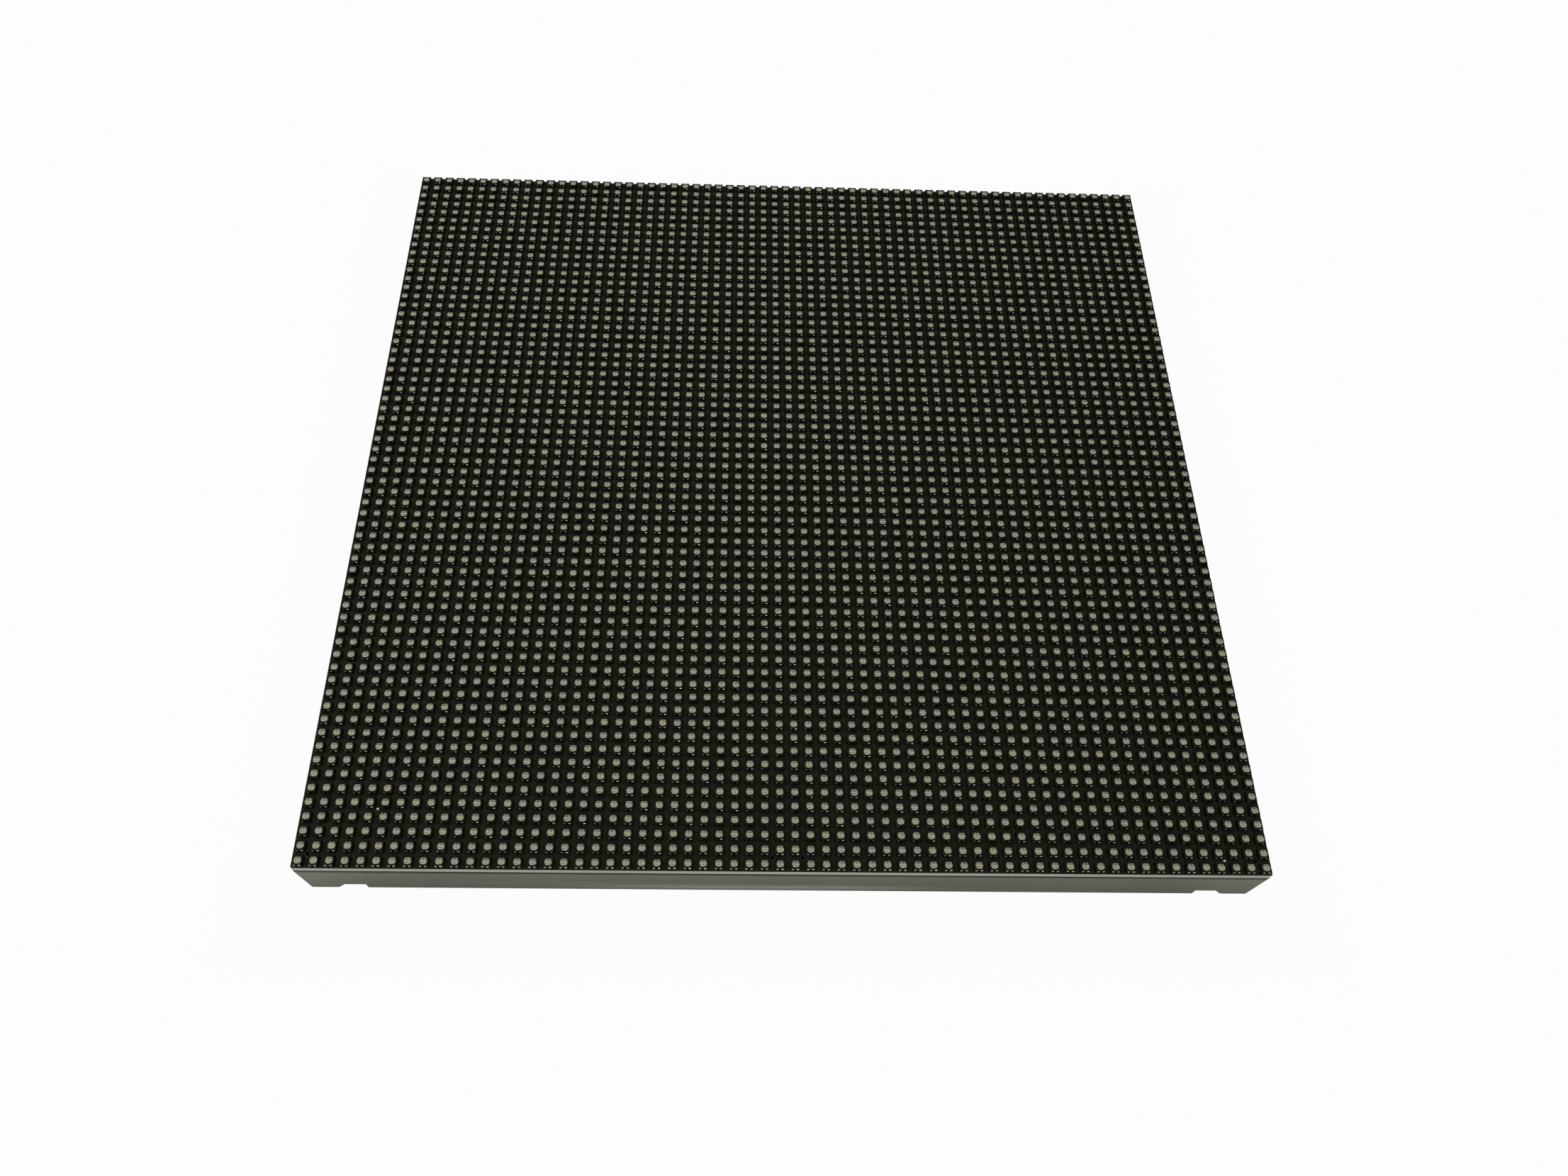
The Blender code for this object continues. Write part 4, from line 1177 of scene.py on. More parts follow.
@dataclass
class CircuitBoard:
    """The board: bare laminate between two layers of mask, with copper behind."""

    thickness: float = 1.6 * MM
    corner: float = 0.4 * MM
    mask: float = 0.03 * MM
    front_setback: float = 0.06 * MM
    back_setback: float = 0.25 * MM
    hole: float = 0.7 * MM
    hole_spot: float = 93.0 * MM
    hole_pair: float = 3.0 * MM
    rim: float = 2.0 * MM
    trace_height: float = 0.02 * MM
    trace_width: float = 0.2 * MM
    trace_edge: float = 0.012 * MM
    trace_pitch: float = 0.66 * MM
    traces_per_driver: int = 12
    fan_start: float = 2.3 * MM
    fan_length: float = 7.5 * MM
    fan_step: float = 1.7 * MM
    via: float = 0.26 * MM
    via_height: float = 0.028 * MM
    via_wall: float = 0.13 * MM
    via_dish: float = 0.012 * MM
    bus_lines: int = 5
    bus_half: float = 87.4 * MM
    bus_start: float = 15.2 * MM
    bus_step: float = 0.9 * MM
    side_runs: tuple[tuple[int, float, float, float], ...] = ((8, 2.54, 65.4, 72.7), (12, 2.1, 37.5, 45.0))

    def holes(self, low: float, high: float) -> Piece:
        """The tool that drills the tooling holes through a layer.

        Args:
            low: the layer's lower face.
            high: the layer's upper face.

        Returns:
            The tool.
        """
        spot, pair = self.hole_spot, self.hole_pair
        places = [(x, y) for x in (-spot, spot) for y in (-spot, spot)] + [(pair, -spot), (-pair, -spot)]
        pins = [rod("tooling_pin", place, self.hole / 2, low - MM, high + MM, sides=16) for place in places]
        return joined("tooling_pins", pins)

    def layer(
        self, name: str, half: float, low: float, high: float, finish: Finish, replaces: Sequence[str] = ()
    ) -> None:
        """One drilled layer of the board.

        Args:
            name: the piece's name.
            half: half its side.
            low: its lower face.
            high: its upper face.
            finish: its finish.
            replaces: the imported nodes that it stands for.
        """
        piece = block(name, (-half, -half, low), (half, half, high))
        bevel(piece, upright, self.corner, segments=3)
        cut(piece, self.holes(low, high))
        piece.data.materials.append(finish.material())
        # The walls of the holes take the black case finish: painted shade inside the holes, partly dark
        # plating.
        piece.data.materials.append(LED_CASE.material())
        for face in piece.data.polygons:
            inside = max(abs(face.center.x), abs(face.center.y)) < half - self.rim
            face.material_index = int(inside and abs(face.normal.z) < 0.5)
        settle(piece, finish, replaces)

    def build(self) -> tuple[float, float]:
        """Builds the board.

        Returns:
            The heights of its back and its face.
        """
        low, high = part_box("led_board")
        half, back, front = high.x, low.z, low.z + self.thickness
        low, high = back + self.mask, front - self.mask
        self.layer("board_laminate", half, low, high, BARE_EDGE, replaces=["led_board"])
        self.layer("front_mask", half - self.front_setback, high, front, FRONT_MASK)
        self.layer("back_mask", half - self.back_setback, back, low, BACK_MASK)
        self.traces(back)
        return back, front

    def strip(self, start: Place, end: Place, back: float) -> Piece:
        """One copper trace under the mask, standing a little out of the board's back.

        Args:
            start: one end in plan.
            end: the other end in plan.
            back: the height of the board's back.

        Returns:
            The trace.
        """
        wide = self.trace_width / 2
        (low_x, high_x), (low_y, high_y) = (sorted(pair) for pair in zip(start, end))
        low = (low_x - wide, low_y - wide, back - self.trace_height)
        piece = block("trace", low, (high_x + wide, high_y + wide, back + self.trace_height / 2))
        bevel(piece, at(z=back - self.trace_height), self.trace_edge)
        return piece

    def ring(self, place: Place, back: float) -> Piece:
        """The soldered ring of one via.

        Args:
            place: its centre in plan.
            back: the height of the board's back.

        Returns:
            The ring.
        """
        ring = rod("via", place, self.via, back - self.via_height, back, sides=10)
        inset(ring, looking_down, self.via_wall, -self.via_dish)
        return ring

    def runs(self, rows: Sequence[float]) -> Iterator[tuple[Place, Place]]:
        """The straight traces: buses beside each row of drivers, and those of headers and chips.

        Args:
            rows: the Y of each row of drivers.

        Yields:
            Both ends of a trace.
        """
        for row in rows:
            for index in range(self.bus_lines):
                for side in SIDES:
                    y = row + side * (self.bus_start + self.bus_step * index)
                    yield (-self.bus_half, y), (self.bus_half, y)
        for side in SIDES:
            for count, pitch, near, far in self.side_runs:
                for index in range(count):
                    y = (index - (count - 1) / 2) * pitch * MM
                    yield (side * near * MM, y), (side * far * MM, y)

    def traces(self, back: float) -> None:
        """The copper: round each driver a fan of traces each way with a via at its end, and runs.

        Args:
            back: the height of the board's back.
        """
        half_fan = (self.traces_per_driver - 1) * self.trace_pitch / 2
        strips, vias = [], []
        for index in range(self.traces_per_driver):
            x = index * self.trace_pitch - half_fan
            length = self.fan_length + self.fan_step * (index * 5 % 4)
            for side in SIDES:
                strips.append(self.strip((x, side * self.fan_start), (x, side * length), back))
                vias.append(self.ring((x, side * length), back))
        drivers = nodes_like("led_driver")
        fans = copies(joined("trace_fan", strips), "driver_traces", over(drivers))
        rows = sorted({round(middle(name).y, 5) for name in drivers})
        lines = [self.strip(start, end, back) for start, end in self.runs(rows)]
        settle(joined("board_traces", [fans, *lines]), TRACE_MASK)
        settle(copies(joined("via_fan", vias), "board_vias", over(drivers)), PAD_SOLDER)


@dataclass
class SmallParts:
    """Resistors and ceramic capacitors beside the chips, with their end caps."""

    length: float = 1.6 * MM
    width: float = 0.8 * MM
    resistor_height: float = 0.45 * MM
    capacitor_height: float = 0.8 * MM
    cap: float = 0.3 * MM
    fillet: float = 0.3 * MM
    sink: float = 0.02 * MM
    body_edge: float = 0.04 * MM
    cap_edge: float = 0.05 * MM
    cap_proud: float = 0.02 * MM
    fillet_root: float = 0.05 * MM
    fillet_share: float = 0.55
    fillet_edge: float = 0.24 * MM
    driver_resistors: tuple[Spot, ...] = ((4.7 * MM, 0.8 * MM, 0.0),)
    driver_capacitors: tuple[Spot, ...] = ((-4.7 * MM, 0.6 * MM, 0.0), (-4.7 * MM, -2.4 * MM, 90.0))
    resistor_columns: tuple[float, ...] = (-46.6 * MM, -63.8 * MM, 70.2 * MM)
    column_count: int = 12
    column_pitch: float = 2.1 * MM
    row_driver_reach: float = 6.8 * MM
    bus_buffer_reach: float = 8.0 * MM
    can_reach: Place = (24.6 * MM, 17.6 * MM)

    def body(self, height: float) -> Piece:
        """One body, lying along Y under the board, its foot at zero.

        Args:
            height: how tall the part is.

        Returns:
            The body.
        """
        half, wide = self.length / 2 - self.cap / 2, self.width / 2 - self.cap_proud
        piece = block("body", (-wide, -half, -height), (wide, half, self.sink))
        bevel(piece, everywhere, self.body_edge)
        return piece

    def caps(self, height: float) -> Piece:
        """The two end caps and their solder, foot at zero.

        Args:
            height: how tall the part is.

        Returns:
            The caps and their solder, fused.
        """
        made = []
        wide, end, low = self.width / 2, self.length / 2, -height * self.fillet_share
        for side in SIDES:
            near, far = sorted((side * (end - self.cap), side * end))
            cap = block("cap", (-wide, near, -height - self.cap_proud), (wide, far, self.sink))
            bevel(cap, everywhere, self.cap_edge)
            outer = side * (end + self.fillet)
            near, far = sorted((side * (end - self.fillet_root), outer))
            fillet = block("fillet", (-wide, near, low), (wide, far, self.sink))
            bevel(fillet, at(y=outer, z=low), self.fillet_edge)
            made += [cap, fillet]
        return joined("caps", made)

    def places(self) -> tuple[list[Spot], list[Spot]]:
        """Where the resistors and the capacitors sit.

        Returns:
            For each kind, (x, y, turn in degrees).
        """
        drivers = [middle(name) for name in nodes_like("led_driver")]
        resistors, capacitors = (
            [(spot.x + x, spot.y + y, turn) for spot in drivers for x, y, turn in offsets]
            for offsets in (self.driver_resistors, self.driver_capacitors)
        )
        for index in range(self.column_count):
            y = (index - (self.column_count - 1) / 2) * self.column_pitch
            resistors += [(x, y, 90.0) for x in self.resistor_columns]
        for start, reach in (("row_driver", self.row_driver_reach), ("bus_buffer", self.bus_buffer_reach)):
            for spot in map(middle, nodes_like(start)):
                capacitors.append((spot.x, spot.y + math.copysign(reach, spot.y), 90.0))
        for spot in map(middle, nodes_like("capacitor")):
            capacitors.append((spot.x, math.copysign(self.can_reach[1], spot.y), 90.0))
            capacitors.append((math.copysign(self.can_reach[0], spot.x), spot.y, 0.0))
        return resistors, capacitors

    def build(self, back: float) -> None:
        """Builds all of them on the board's back.

        Args:
            back: the height of the board's back.
        """
        resistors, capacitors = (
            [
                Matrix.Translation((x, y, back)) @ Matrix.Rotation(math.radians(turn), 4, "Z")
                for x, y, turn in spots
            ]
            for spots in self.places()
        )
        settle(copies(self.body(self.resistor_height), "resistor_bodies", resistors), RESISTOR_BLACK)
        body = self.body(self.capacitor_height)
        settle(copies(body, "ceramic_capacitor_bodies", capacitors), CAPACITOR_TAN)
        ends = [
            copies(self.caps(self.resistor_height), "resistor_ends", resistors),
            copies(self.caps(self.capacitor_height), "ceramic_ends", capacitors),
        ]
        settle(joined("small_part_end_caps", ends), TIN)


@dataclass
class LedDrivers:
    """The leadless driver chips, each with a pin mark and 24 pads."""

    side: float = 4.0 * MM
    standoff: float = 0.10 * MM
    edge: float = 0.12 * MM
    pads: int = 6
    pad_pitch: float = 0.5 * MM
    pad_width: float = 0.26 * MM
    pad_reach: float = 0.16 * MM
    pad_height: float = 0.3 * MM
    pad_root: float = 0.2 * MM
    pad_edge: float = 0.14 * MM
    mark: float = 0.32 * MM
    mark_depth: float = 0.05 * MM
    mark_inset: float = 0.7 * MM

    def build(self, back: float) -> None:
        """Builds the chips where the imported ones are.

        Args:
            back: the height of the board's back.
        """
        names = nodes_like("led_driver")
        low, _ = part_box(names[0])
        height = back - low.z
        half = self.side / 2
        body = block("chip", (-half, -half, self.standoff), (half, half, height))
        bevel(body, at(z=height), self.edge, segments=2)
        spot = (self.mark_inset - half, half - self.mark_inset)
        cut(body, rod("mark", spot, self.mark, height - self.mark_depth, height + MM, sides=16))
        moves = under(names, back)
        settle(copies(body, "led_driver_chips", moves), CHIP_EPOXY, replaces=names)

        first, wide = -(self.pads - 1) * self.pad_pitch / 2, self.pad_width / 2
        outer = half + self.pad_reach
        inner = (half - self.pad_root, first - wide, 0.0)
        pad = block("pad", inner, (outer, first + wide, self.pad_height))
        bevel(pad, at(x=outer, z=self.pad_height), self.pad_edge)
        repeat(pad, self.pads, (0.0, self.pad_pitch, 0.0))
        ring = copies(pad, "pads", [Matrix.Rotation(turn * math.pi / 2, 4, "Z") for turn in range(4)])
        settle(copies(ring, "led_driver_pads", moves), TIN)


@dataclass
class LeadedChips:
    """Chips with gull-wing leads: moulded bodies with a parting line and a pin mark."""

    prefix: str
    length: float
    width: float
    leads: int
    reach: float
    standoff: float = 0.15 * MM
    draft: float = 0.15 * MM
    edge: float = 0.06 * MM
    mark: float = 0.4 * MM
    mark_depth: float = 0.08 * MM
    mark_inset: float = 0.9 * MM
    lead_pitch: float = 1.27 * MM
    lead_width: float = 0.42 * MM
    lead_thickness: float = 0.2 * MM
    lead_root: float = 0.25 * MM
    lead_slant: float = 0.12 * MM
    foot: float = 0.5 * MM

    def build(self, back: float) -> None:
        """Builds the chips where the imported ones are.

        Args:
            back: the height of the board's back.
        """
        names = nodes_like(self.prefix)
        low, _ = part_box(names[0])
        bottom, top = self.standoff, back - low.z
        half_x, half_y = self.width / 2, self.length / 2
        waist = (bottom + top) / 2
        body = block("chip", (-half_x, -half_y, bottom), (half_x, half_y, top))
        split(body, (0, 0, waist), (0, 0, 1))
        shrink = (1 - self.draft / half_x, 1 - self.draft / half_y, 1.0)
        resize(body, looking_up, shrink, (0, 0, top))
        resize(body, looking_down, shrink, (0, 0, bottom))
        bevel(body, at(z=top), self.edge)
        spot = (self.mark_inset - half_x, half_y - self.mark_inset)
        cut(body, rod("mark", spot, self.mark, top - self.mark_depth, top + MM, sides=20))
        moves = under(names, back)
        settle(copies(body, f"{self.prefix}_bodies", moves), CHIP_EPOXY, replaces=names)
        leads = both_ways(self.row_of_leads(half_x, waist), "leads")
        settle(copies(leads, f"{self.prefix}_leads", moves), TIN)

    def row_of_leads(self, half_x: float, waist: float) -> Piece:
        """The bent leads along one side.

        Args:
            half_x: how far out the body's side is.
            waist: the height at which they leave it.

        Returns:
            The leads, fused.
        """
        per_side = self.leads // 2
        first = -(per_side - 1) * self.lead_pitch / 2
        root = half_x - self.lead_root
        place = ((root + half_x) / 2, first, waist)
        deselect_all()
        bpy.ops.mesh.primitive_plane_add(size=1.0, location=place)
        lead = named("lead")
        resize(lead, everywhere, (half_x - root, self.lead_width, 1.0), place)
        shoulder, drop = (self.reach - self.foot) / 2, waist - self.lead_thickness / 2
        steps = [(shoulder, 0, 0), (self.lead_slant, 0, -drop), (self.foot, 0, 0)]
        extrude(lead, Pick.EDGES, at(x=half_x), *steps)
        apply_modifier(lead, "SOLIDIFY", thickness=self.lead_thickness, offset=0.0, use_even_offset=True)
        bevel(lead, lambda centre, direction: abs(direction.y) > 0.9, self.edge)
        repeat(lead, per_side, (0.0, self.lead_pitch, 0.0))
        return lead


@dataclass
class DataHeaders:
    """The keyed box headers: black shrouds, gold-plated pins and soldered feet."""

    wall: float = 1.15 * MM
    floor: float = 2.4 * MM
    corner: float = 0.3 * MM
    rim: float = 0.12 * MM
    key_width: float = 4.5 * MM
    key_depth: float = 5.2 * MM
    pins_per_row: int = 8
    pin_pitch: float = 2.54 * MM
    pin_side: float = 0.64 * MM
    pin_height: float = 7.6 * MM
    pin_tip: float = 0.5 * MM
    pin_root: float = 0.3 * MM
    pin_taper: float = 0.45
    foot_reach: float = 1.5 * MM
    foot_height: float = 0.25 * MM
    foot_edge: float = 0.08 * MM

    def shroud(self, name: str, half: Vector, height: float, floor: float) -> Piece:
        """The open box with its key slot, standing on zero.

        Args:
            name: the piece's name.
            half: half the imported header's size.
            height: the height of its rim.
            floor: the height of its floor.

        Returns:
            The shroud.
        """
        body = block(name, (-half.x, -half.y, LIFT), (half.x, half.y, height))
        bevel(body, upright, self.corner, segments=2)
        inset(body, looking_up, self.wall)
        mouth = (half.x - self.wall) / 2

        def inner(centre: Vector, normal: Vector) -> bool:
            """The inner face of the top."""
            return normal.z > 0.9 and max(abs(centre.x), abs(centre.y)) < mouth

        extrude(body, Pick.FACES, inner, (0.0, 0.0, floor - height))
        wide = self.key_width / 2
        cut(body, block("key", (0.0, -wide, height - self.key_depth), (half.x + MM, wide, height + MM)))
        bevel(body, at(z=height), self.rim)
        return body

    def pins(self, name: str, floor: float, top: float) -> Piece:
        """Two rows of square pins with pointed ends.

        Args:
            name: the piece's name.
            floor: the height of the floor.
            top: the height of their tips.

        Returns:
            The pins, fused.
        """
        spot, ends = (-self.pin_pitch / 2, self.first()), (floor - self.pin_root, top)
        pin = upright_pin(name, spot, self.pin_side, ends, self.pin_tip, self.pin_taper)
        repeat(pin, 2, (self.pin_pitch, 0.0, 0.0))
        repeat(pin, self.pins_per_row, (0.0, self.pin_pitch, 0.0))
        return pin

    def feet(self, name: str, half_x: float) -> Piece:
        """The soldered feet along both sides.

        Args:
            name: the piece's name.
            half_x: how far out the shroud's side is.

        Returns:
            The feet, fused.
        """
        wide, first = self.pin_side / 2, self.first()
        low = (half_x - MM, first - wide, 0.0)
        foot = block(name, low, (half_x + self.foot_reach, first + wide, self.foot_height))
        bevel(foot, at(z=self.foot_height), self.foot_edge)
        repeat(foot, self.pins_per_row, (0.0, self.pin_pitch, 0.0))
        return both_ways(foot, name)

    def first(self) -> float:
        """The Y of the first pin in a row."""
        return -(self.pins_per_row - 1) * self.pin_pitch / 2

    def build(self, back: float) -> None:
        """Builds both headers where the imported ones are.

        Args:
            back: the height of the board's back.
        """
        for node in ("data_in_header", "data_out_header"):
            low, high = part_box(node)
            half, gap = (high - low) / 2, back - high.z
            floor, top = self.floor + gap, self.pin_height + gap
            (move,) = under([node], back)
            shroud = self.shroud(node.replace("header", "shroud"), half, back - low.z, floor)
            settle(shroud, BLACK_NYLON, replaces=[node], move=move)
            settle(self.pins(node.replace("header", "pins"), floor, top), PIN_GOLD, move=move)
            settle(self.feet(node.replace("header", "feet"), half.x), TIN, move=move)


@dataclass
class PowerHeader:
    """The four-way power header: a pale base with a slotted lock wall and thick pins."""

    pins: int = 4
    pitch: float = 3.96 * MM
    pin_side: float = 1.14 * MM
    pin_height: float = 9.0 * MM
    pin_tip: float = 0.8 * MM
    pin_root: float = 0.4 * MM
    pin_taper: float = 0.5
    pin_edge: float = 0.06 * MM
    base_height: float = 3.4 * MM
    wall: float = 1.3 * MM
    edge: float = 0.2 * MM
    corner: float = 0.25 * MM
    slot_width: float = 1.6 * MM
    slot_depth: float = 4.0 * MM
    ramp_half: float = 1.4 * MM
    ramp_reach: float = 0.55 * MM
    ramp_root: float = 0.2 * MM
    ramp_edge: float = 0.45 * MM
    ramp_span: tuple[float, float] = (1.9 * MM, 0.5 * MM)

    def build(self, back: float) -> None:
        """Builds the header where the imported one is.

        Args:
            back: the height of the board's back.
        """
        low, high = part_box("power_header")
        half = (high - low) / 2
        height, gap = back - low.z, back - high.z
        base, inner = self.base_height + gap, half.y - self.wall
        body = block("power_header_base", (-half.x, -half.y, LIFT), (half.x, half.y, base))
        split(body, (0.0, inner, 0.0), (0.0, 1.0, 0.0))
        lock = (0.0, 0.0, height - base)
        extrude(body, Pick.FACES, lambda centre, normal: normal.z > 0.9 and centre.y > inner, lock)
        for side in SIDES:
            x, wide = side * self.pitch, self.slot_width / 2
            foot = (x - wide, inner - MM, height - self.slot_depth)
            cut(body, block("slot", foot, (x + wide, half.y + MM, height + MM)))
        bevel(body, at(z=height), self.edge)
        bevel(body, lambda centre, way: abs(way.z) > 0.9 and centre.y < 0.0, self.corner, segments=2)
        below, above = (height - drop for drop in self.ramp_span)
        front = inner - self.ramp_reach
        back_corner = (self.ramp_half, inner + self.ramp_root, above)
        ramp = block("ramp", (-self.ramp_half, front, below), back_corner)
        bevel(ramp, at(y=front, z=above), self.ramp_edge)
        (move,) = under(["power_header"], back)
        body = joined("power_header_body", [body, ramp])
        settle(body, WHITE_NYLON, replaces=["power_header"], move=move)

        spot = (-(self.pins - 1) * self.pitch / 2, -self.wall / 2)
        ends = (base - self.pin_root, self.pin_height + gap)
        pin = upright_pin("power_header_pins", spot, self.pin_side, ends, self.pin_tip, self.pin_taper)
        bevel(pin, upright, self.pin_edge)
        repeat(pin, self.pins, (self.pitch, 0.0, 0.0))
        settle(pin, TIN, move=move)


def quarter(centre: Place, radius: float, start: int) -> list[Place]:
    """The points of a quarter circle, in six steps.

    Args:
        centre: its centre.
        radius: its radius.
        start: the angle in degrees that it starts at; it ends at 0.

    Returns:
        The points.
    """
    x, y = centre
    angles = (math.radians(start * (6 - step) / 6) for step in range(7))
    return [(x + radius * math.cos(angle), y + radius * math.sin(angle)) for angle in angles]


@dataclass
class CanCapacitors:
    """The electrolytic capacitors: drawn cans on black bases with two soldered lugs."""

    radius: float = 3.15 * MM
    base_half: float = 3.3 * MM
    base_height: float = 1.0 * MM
    base_edge: float = 0.15 * MM
    cut_corner: float = 1.3 * MM
    groove_height: float = 1.9 * MM
    groove_depth: float = 0.35 * MM
    groove: tuple[Place, ...] = ((0.0, 1.3), (0.8, 0.5), (1.0, 0.0), (0.8, -0.5), (0.0, -1.3))
    dish: float = 0.06 * MM
    dish_share: float = 0.72
    can_foot: float = 0.2 * MM
    ink_band: float = 0.1 * MM
    ink_share: float = 0.75
    ink_chord: float = 0.9 * MM
    edge: float = 0.5 * MM
    lug: tuple[float, float, float] = (0.75 * MM, 0.35 * MM, 0.2 * MM)
    lug_root: float = 0.6 * MM
    lug_edge: float = 0.08 * MM

    def can(self, base: float, groove: float, height: float) -> Piece:
        """One can, with a groove near its foot and ink over a part of its top.

        Args:
            base: the height of its foot.
            groove: the height of its groove.
            height: the height of its top.

        Returns:
            The can.
        """
        profile = [(share * self.radius, height - self.dish) for share in (0.0, self.dish_share)]
        profile += quarter((self.radius - self.edge, height - self.edge), self.edge, 90)
        deep = self.groove_depth
        profile += [(self.radius - deep * inward, groove + deep * up) for inward, up in self.groove]
        profile += [(self.radius, base - self.can_foot), (0.0, base - self.can_foot)]
        can = turned("can", profile, 36)
        split(can, (-self.ink_chord, 0.0, 0.0), (1.0, 0.0, 0.0))
        can.data.materials.append(ALUMINIUM.material())
        can.data.materials.append(CAN_INK.material())
        for face in can.data.polygons:
            inside = face.center.xy.length < self.radius * self.ink_share
            inked = face.center.z > height - self.ink_band and face.center.x < -self.ink_chord
            face.material_index = int(inside and inked)
        return can

    def build(self, back: float) -> None:
        """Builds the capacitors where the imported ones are.

        Args:
            back: the height of the board's back.
        """
        names = nodes_like("capacitor")
        low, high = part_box(names[0])
        gap = back - high.z
        base = self.base_height + gap
        moves = under(names, back)
        can = self.can(base, self.groove_height + gap, back - low.z)
        settle(copies(can, "capacitor_cans", moves), ALUMINIUM, replaces=names)

        half = self.base_half
        foot = block("base", (-half, -half, LIFT), (half, half, base))
        bevel(foot, lambda centre, way: abs(way.z) > 0.9 and centre.y > 0.0, self.cut_corner)
        bevel(foot, at(z=base), self.base_edge)
        settle(copies(foot, "capacitor_bases", moves), BLACK_NYLON)

        reach, wide, thick = self.lug
        lug = block("lug", (half - self.lug_root, -wide, 0.0), (half + reach, wide, thick))
        bevel(lug, at(z=thick), self.lug_edge)
        settle(copies(both_ways(lug, "lugs"), "capacitor_lugs", moves), TIN)


@dataclass
class Fasteners:
    """Brass inserts with a thread, cross-recess screws and soldered nuts."""

    insert_bore: float = 1.45 * MM
    insert_edge: float = 0.15 * MM
    insert_mouth: float = 0.25 * MM
    thread_pitch: float = 0.5 * MM
    thread_depth: float = 0.14 * MM
    head_height: float = 2.0 * MM
    crown: float = 0.6 * MM
    shank: float = 1.3 * MM
    shank_tip: float = 0.3 * MM
    recess_depth: float = 1.2 * MM
    recess_width: float = 0.75 * MM
    recess_length: float = 3.0 * MM

    def inserts(self) -> None:
        """The six mounting inserts."""
        names = nodes_like("mounting_insert")
        low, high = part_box(names[0])
        outer = (high.x - low.x) / 2
        bottom, top, bore, mouth = low.z, high.z, self.insert_bore, self.insert_mouth
        profile = [(outer, top), (outer, bottom + self.insert_edge), (outer - self.insert_edge, bottom)]
        profile.append((bore + mouth, bottom))
        for turn in range(int((top - bottom - 2 * mouth) / self.thread_pitch)):
            height = bottom + mouth + turn * self.thread_pitch
            profile.append((bore, height))
            profile.append((bore - self.thread_depth, height + self.thread_pitch / 2))
        profile += [(bore, top - mouth), (bore + mouth / 2, top), (outer, top)]
        sleeves = copies(turned("insert", profile, 24), "mounting_insert_sleeves", over(names))
        settle(sleeves, BRASS, replaces=names, angle=30.0)

    def blade(self, bottom: float, along: int) -> Piece:
        """One blade of the cross that the recess is cut with.

        Args:
            bottom: the height of the screw's outer face.
            along: 0 for X or 1 for Y.

        Returns:
            The blade.
        """
        half, factors = [self.recess_width / 2] * 2, [0.75, 0.75, 1.0]
        half[along], factors[along] = self.recess_length / 2, 0.35
        top = bottom + self.recess_depth
        piece = block("blade", (-half[0], -half[1], bottom - MM), (half[0], half[1], top))
        resize(piece, looking_up, factors, (0, 0, top))
        return piece

    def screws(self) -> None:
        """The six screws that hold the frame to the board."""
        names = nodes_like("frame_screw")
        low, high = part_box(names[0])
        head, bottom, end = (high.x - low.x) / 2, low.z, high.z
        seat = bottom + self.head_height
        crown = quarter((head - self.crown, bottom + self.crown), self.crown, -90)
        profile = [(0.0, bottom), *crown]
        profile += [(head, seat), (self.shank, seat), (self.shank, end - self.shank_tip)]
        profile += [(self.shank - self.shank_tip, end), (0.0, end)]
        piece = turned("screw", profile, 28)
        for along in (0, 1):
            cut(piece, self.blade(bottom, along))
        settle(copies(piece, "frame_screw_bodies", over(names)), ZINC, replaces=names)

    def nuts(self) -> None:
        """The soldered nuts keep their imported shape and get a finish."""
        for name in nodes_like("solder_nut"):
            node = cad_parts[name]
            node.data.materials.clear()
            node.data.materials.append(TIN.material())

    def build(self) -> None:
        """Builds all fasteners."""
        self.inserts()
        self.screws()
        self.nuts()


@dataclass
class RearFrame:
    """The moulded rear frame, with its edges eased."""

    edge: float = 0.14 * MM
    segments: int = 2
    merged_below: float = 0.002 * MM
    flat_below: float = 1.0
    eased_above: float = 40.0

    def build(self) -> None:
        """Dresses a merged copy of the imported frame."""
        piece = copy_of(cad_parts["rear_frame"], "rear_frame_moulding", Matrix.Identity(4))
        piece.parent = None
        for key in list(piece.keys()):
            del piece[key]
        piece.data.materials.clear()
        with editing(piece, Pick.FACES):
            bpy.ops.mesh.remove_doubles(threshold=self.merged_below)
            bpy.ops.mesh.dissolve_limited(angle_limit=math.radians(self.flat_below))
        angle = math.radians(self.eased_above)
        limits = {"limit_method": "ANGLE", "angle_limit": angle, "use_clamp_overlap": True}
        apply_modifier(piece, "BEVEL", width=self.edge, segments=self.segments, **limits)
        settle(piece, FRAME_PLASTIC, replaces=["rear_frame"])


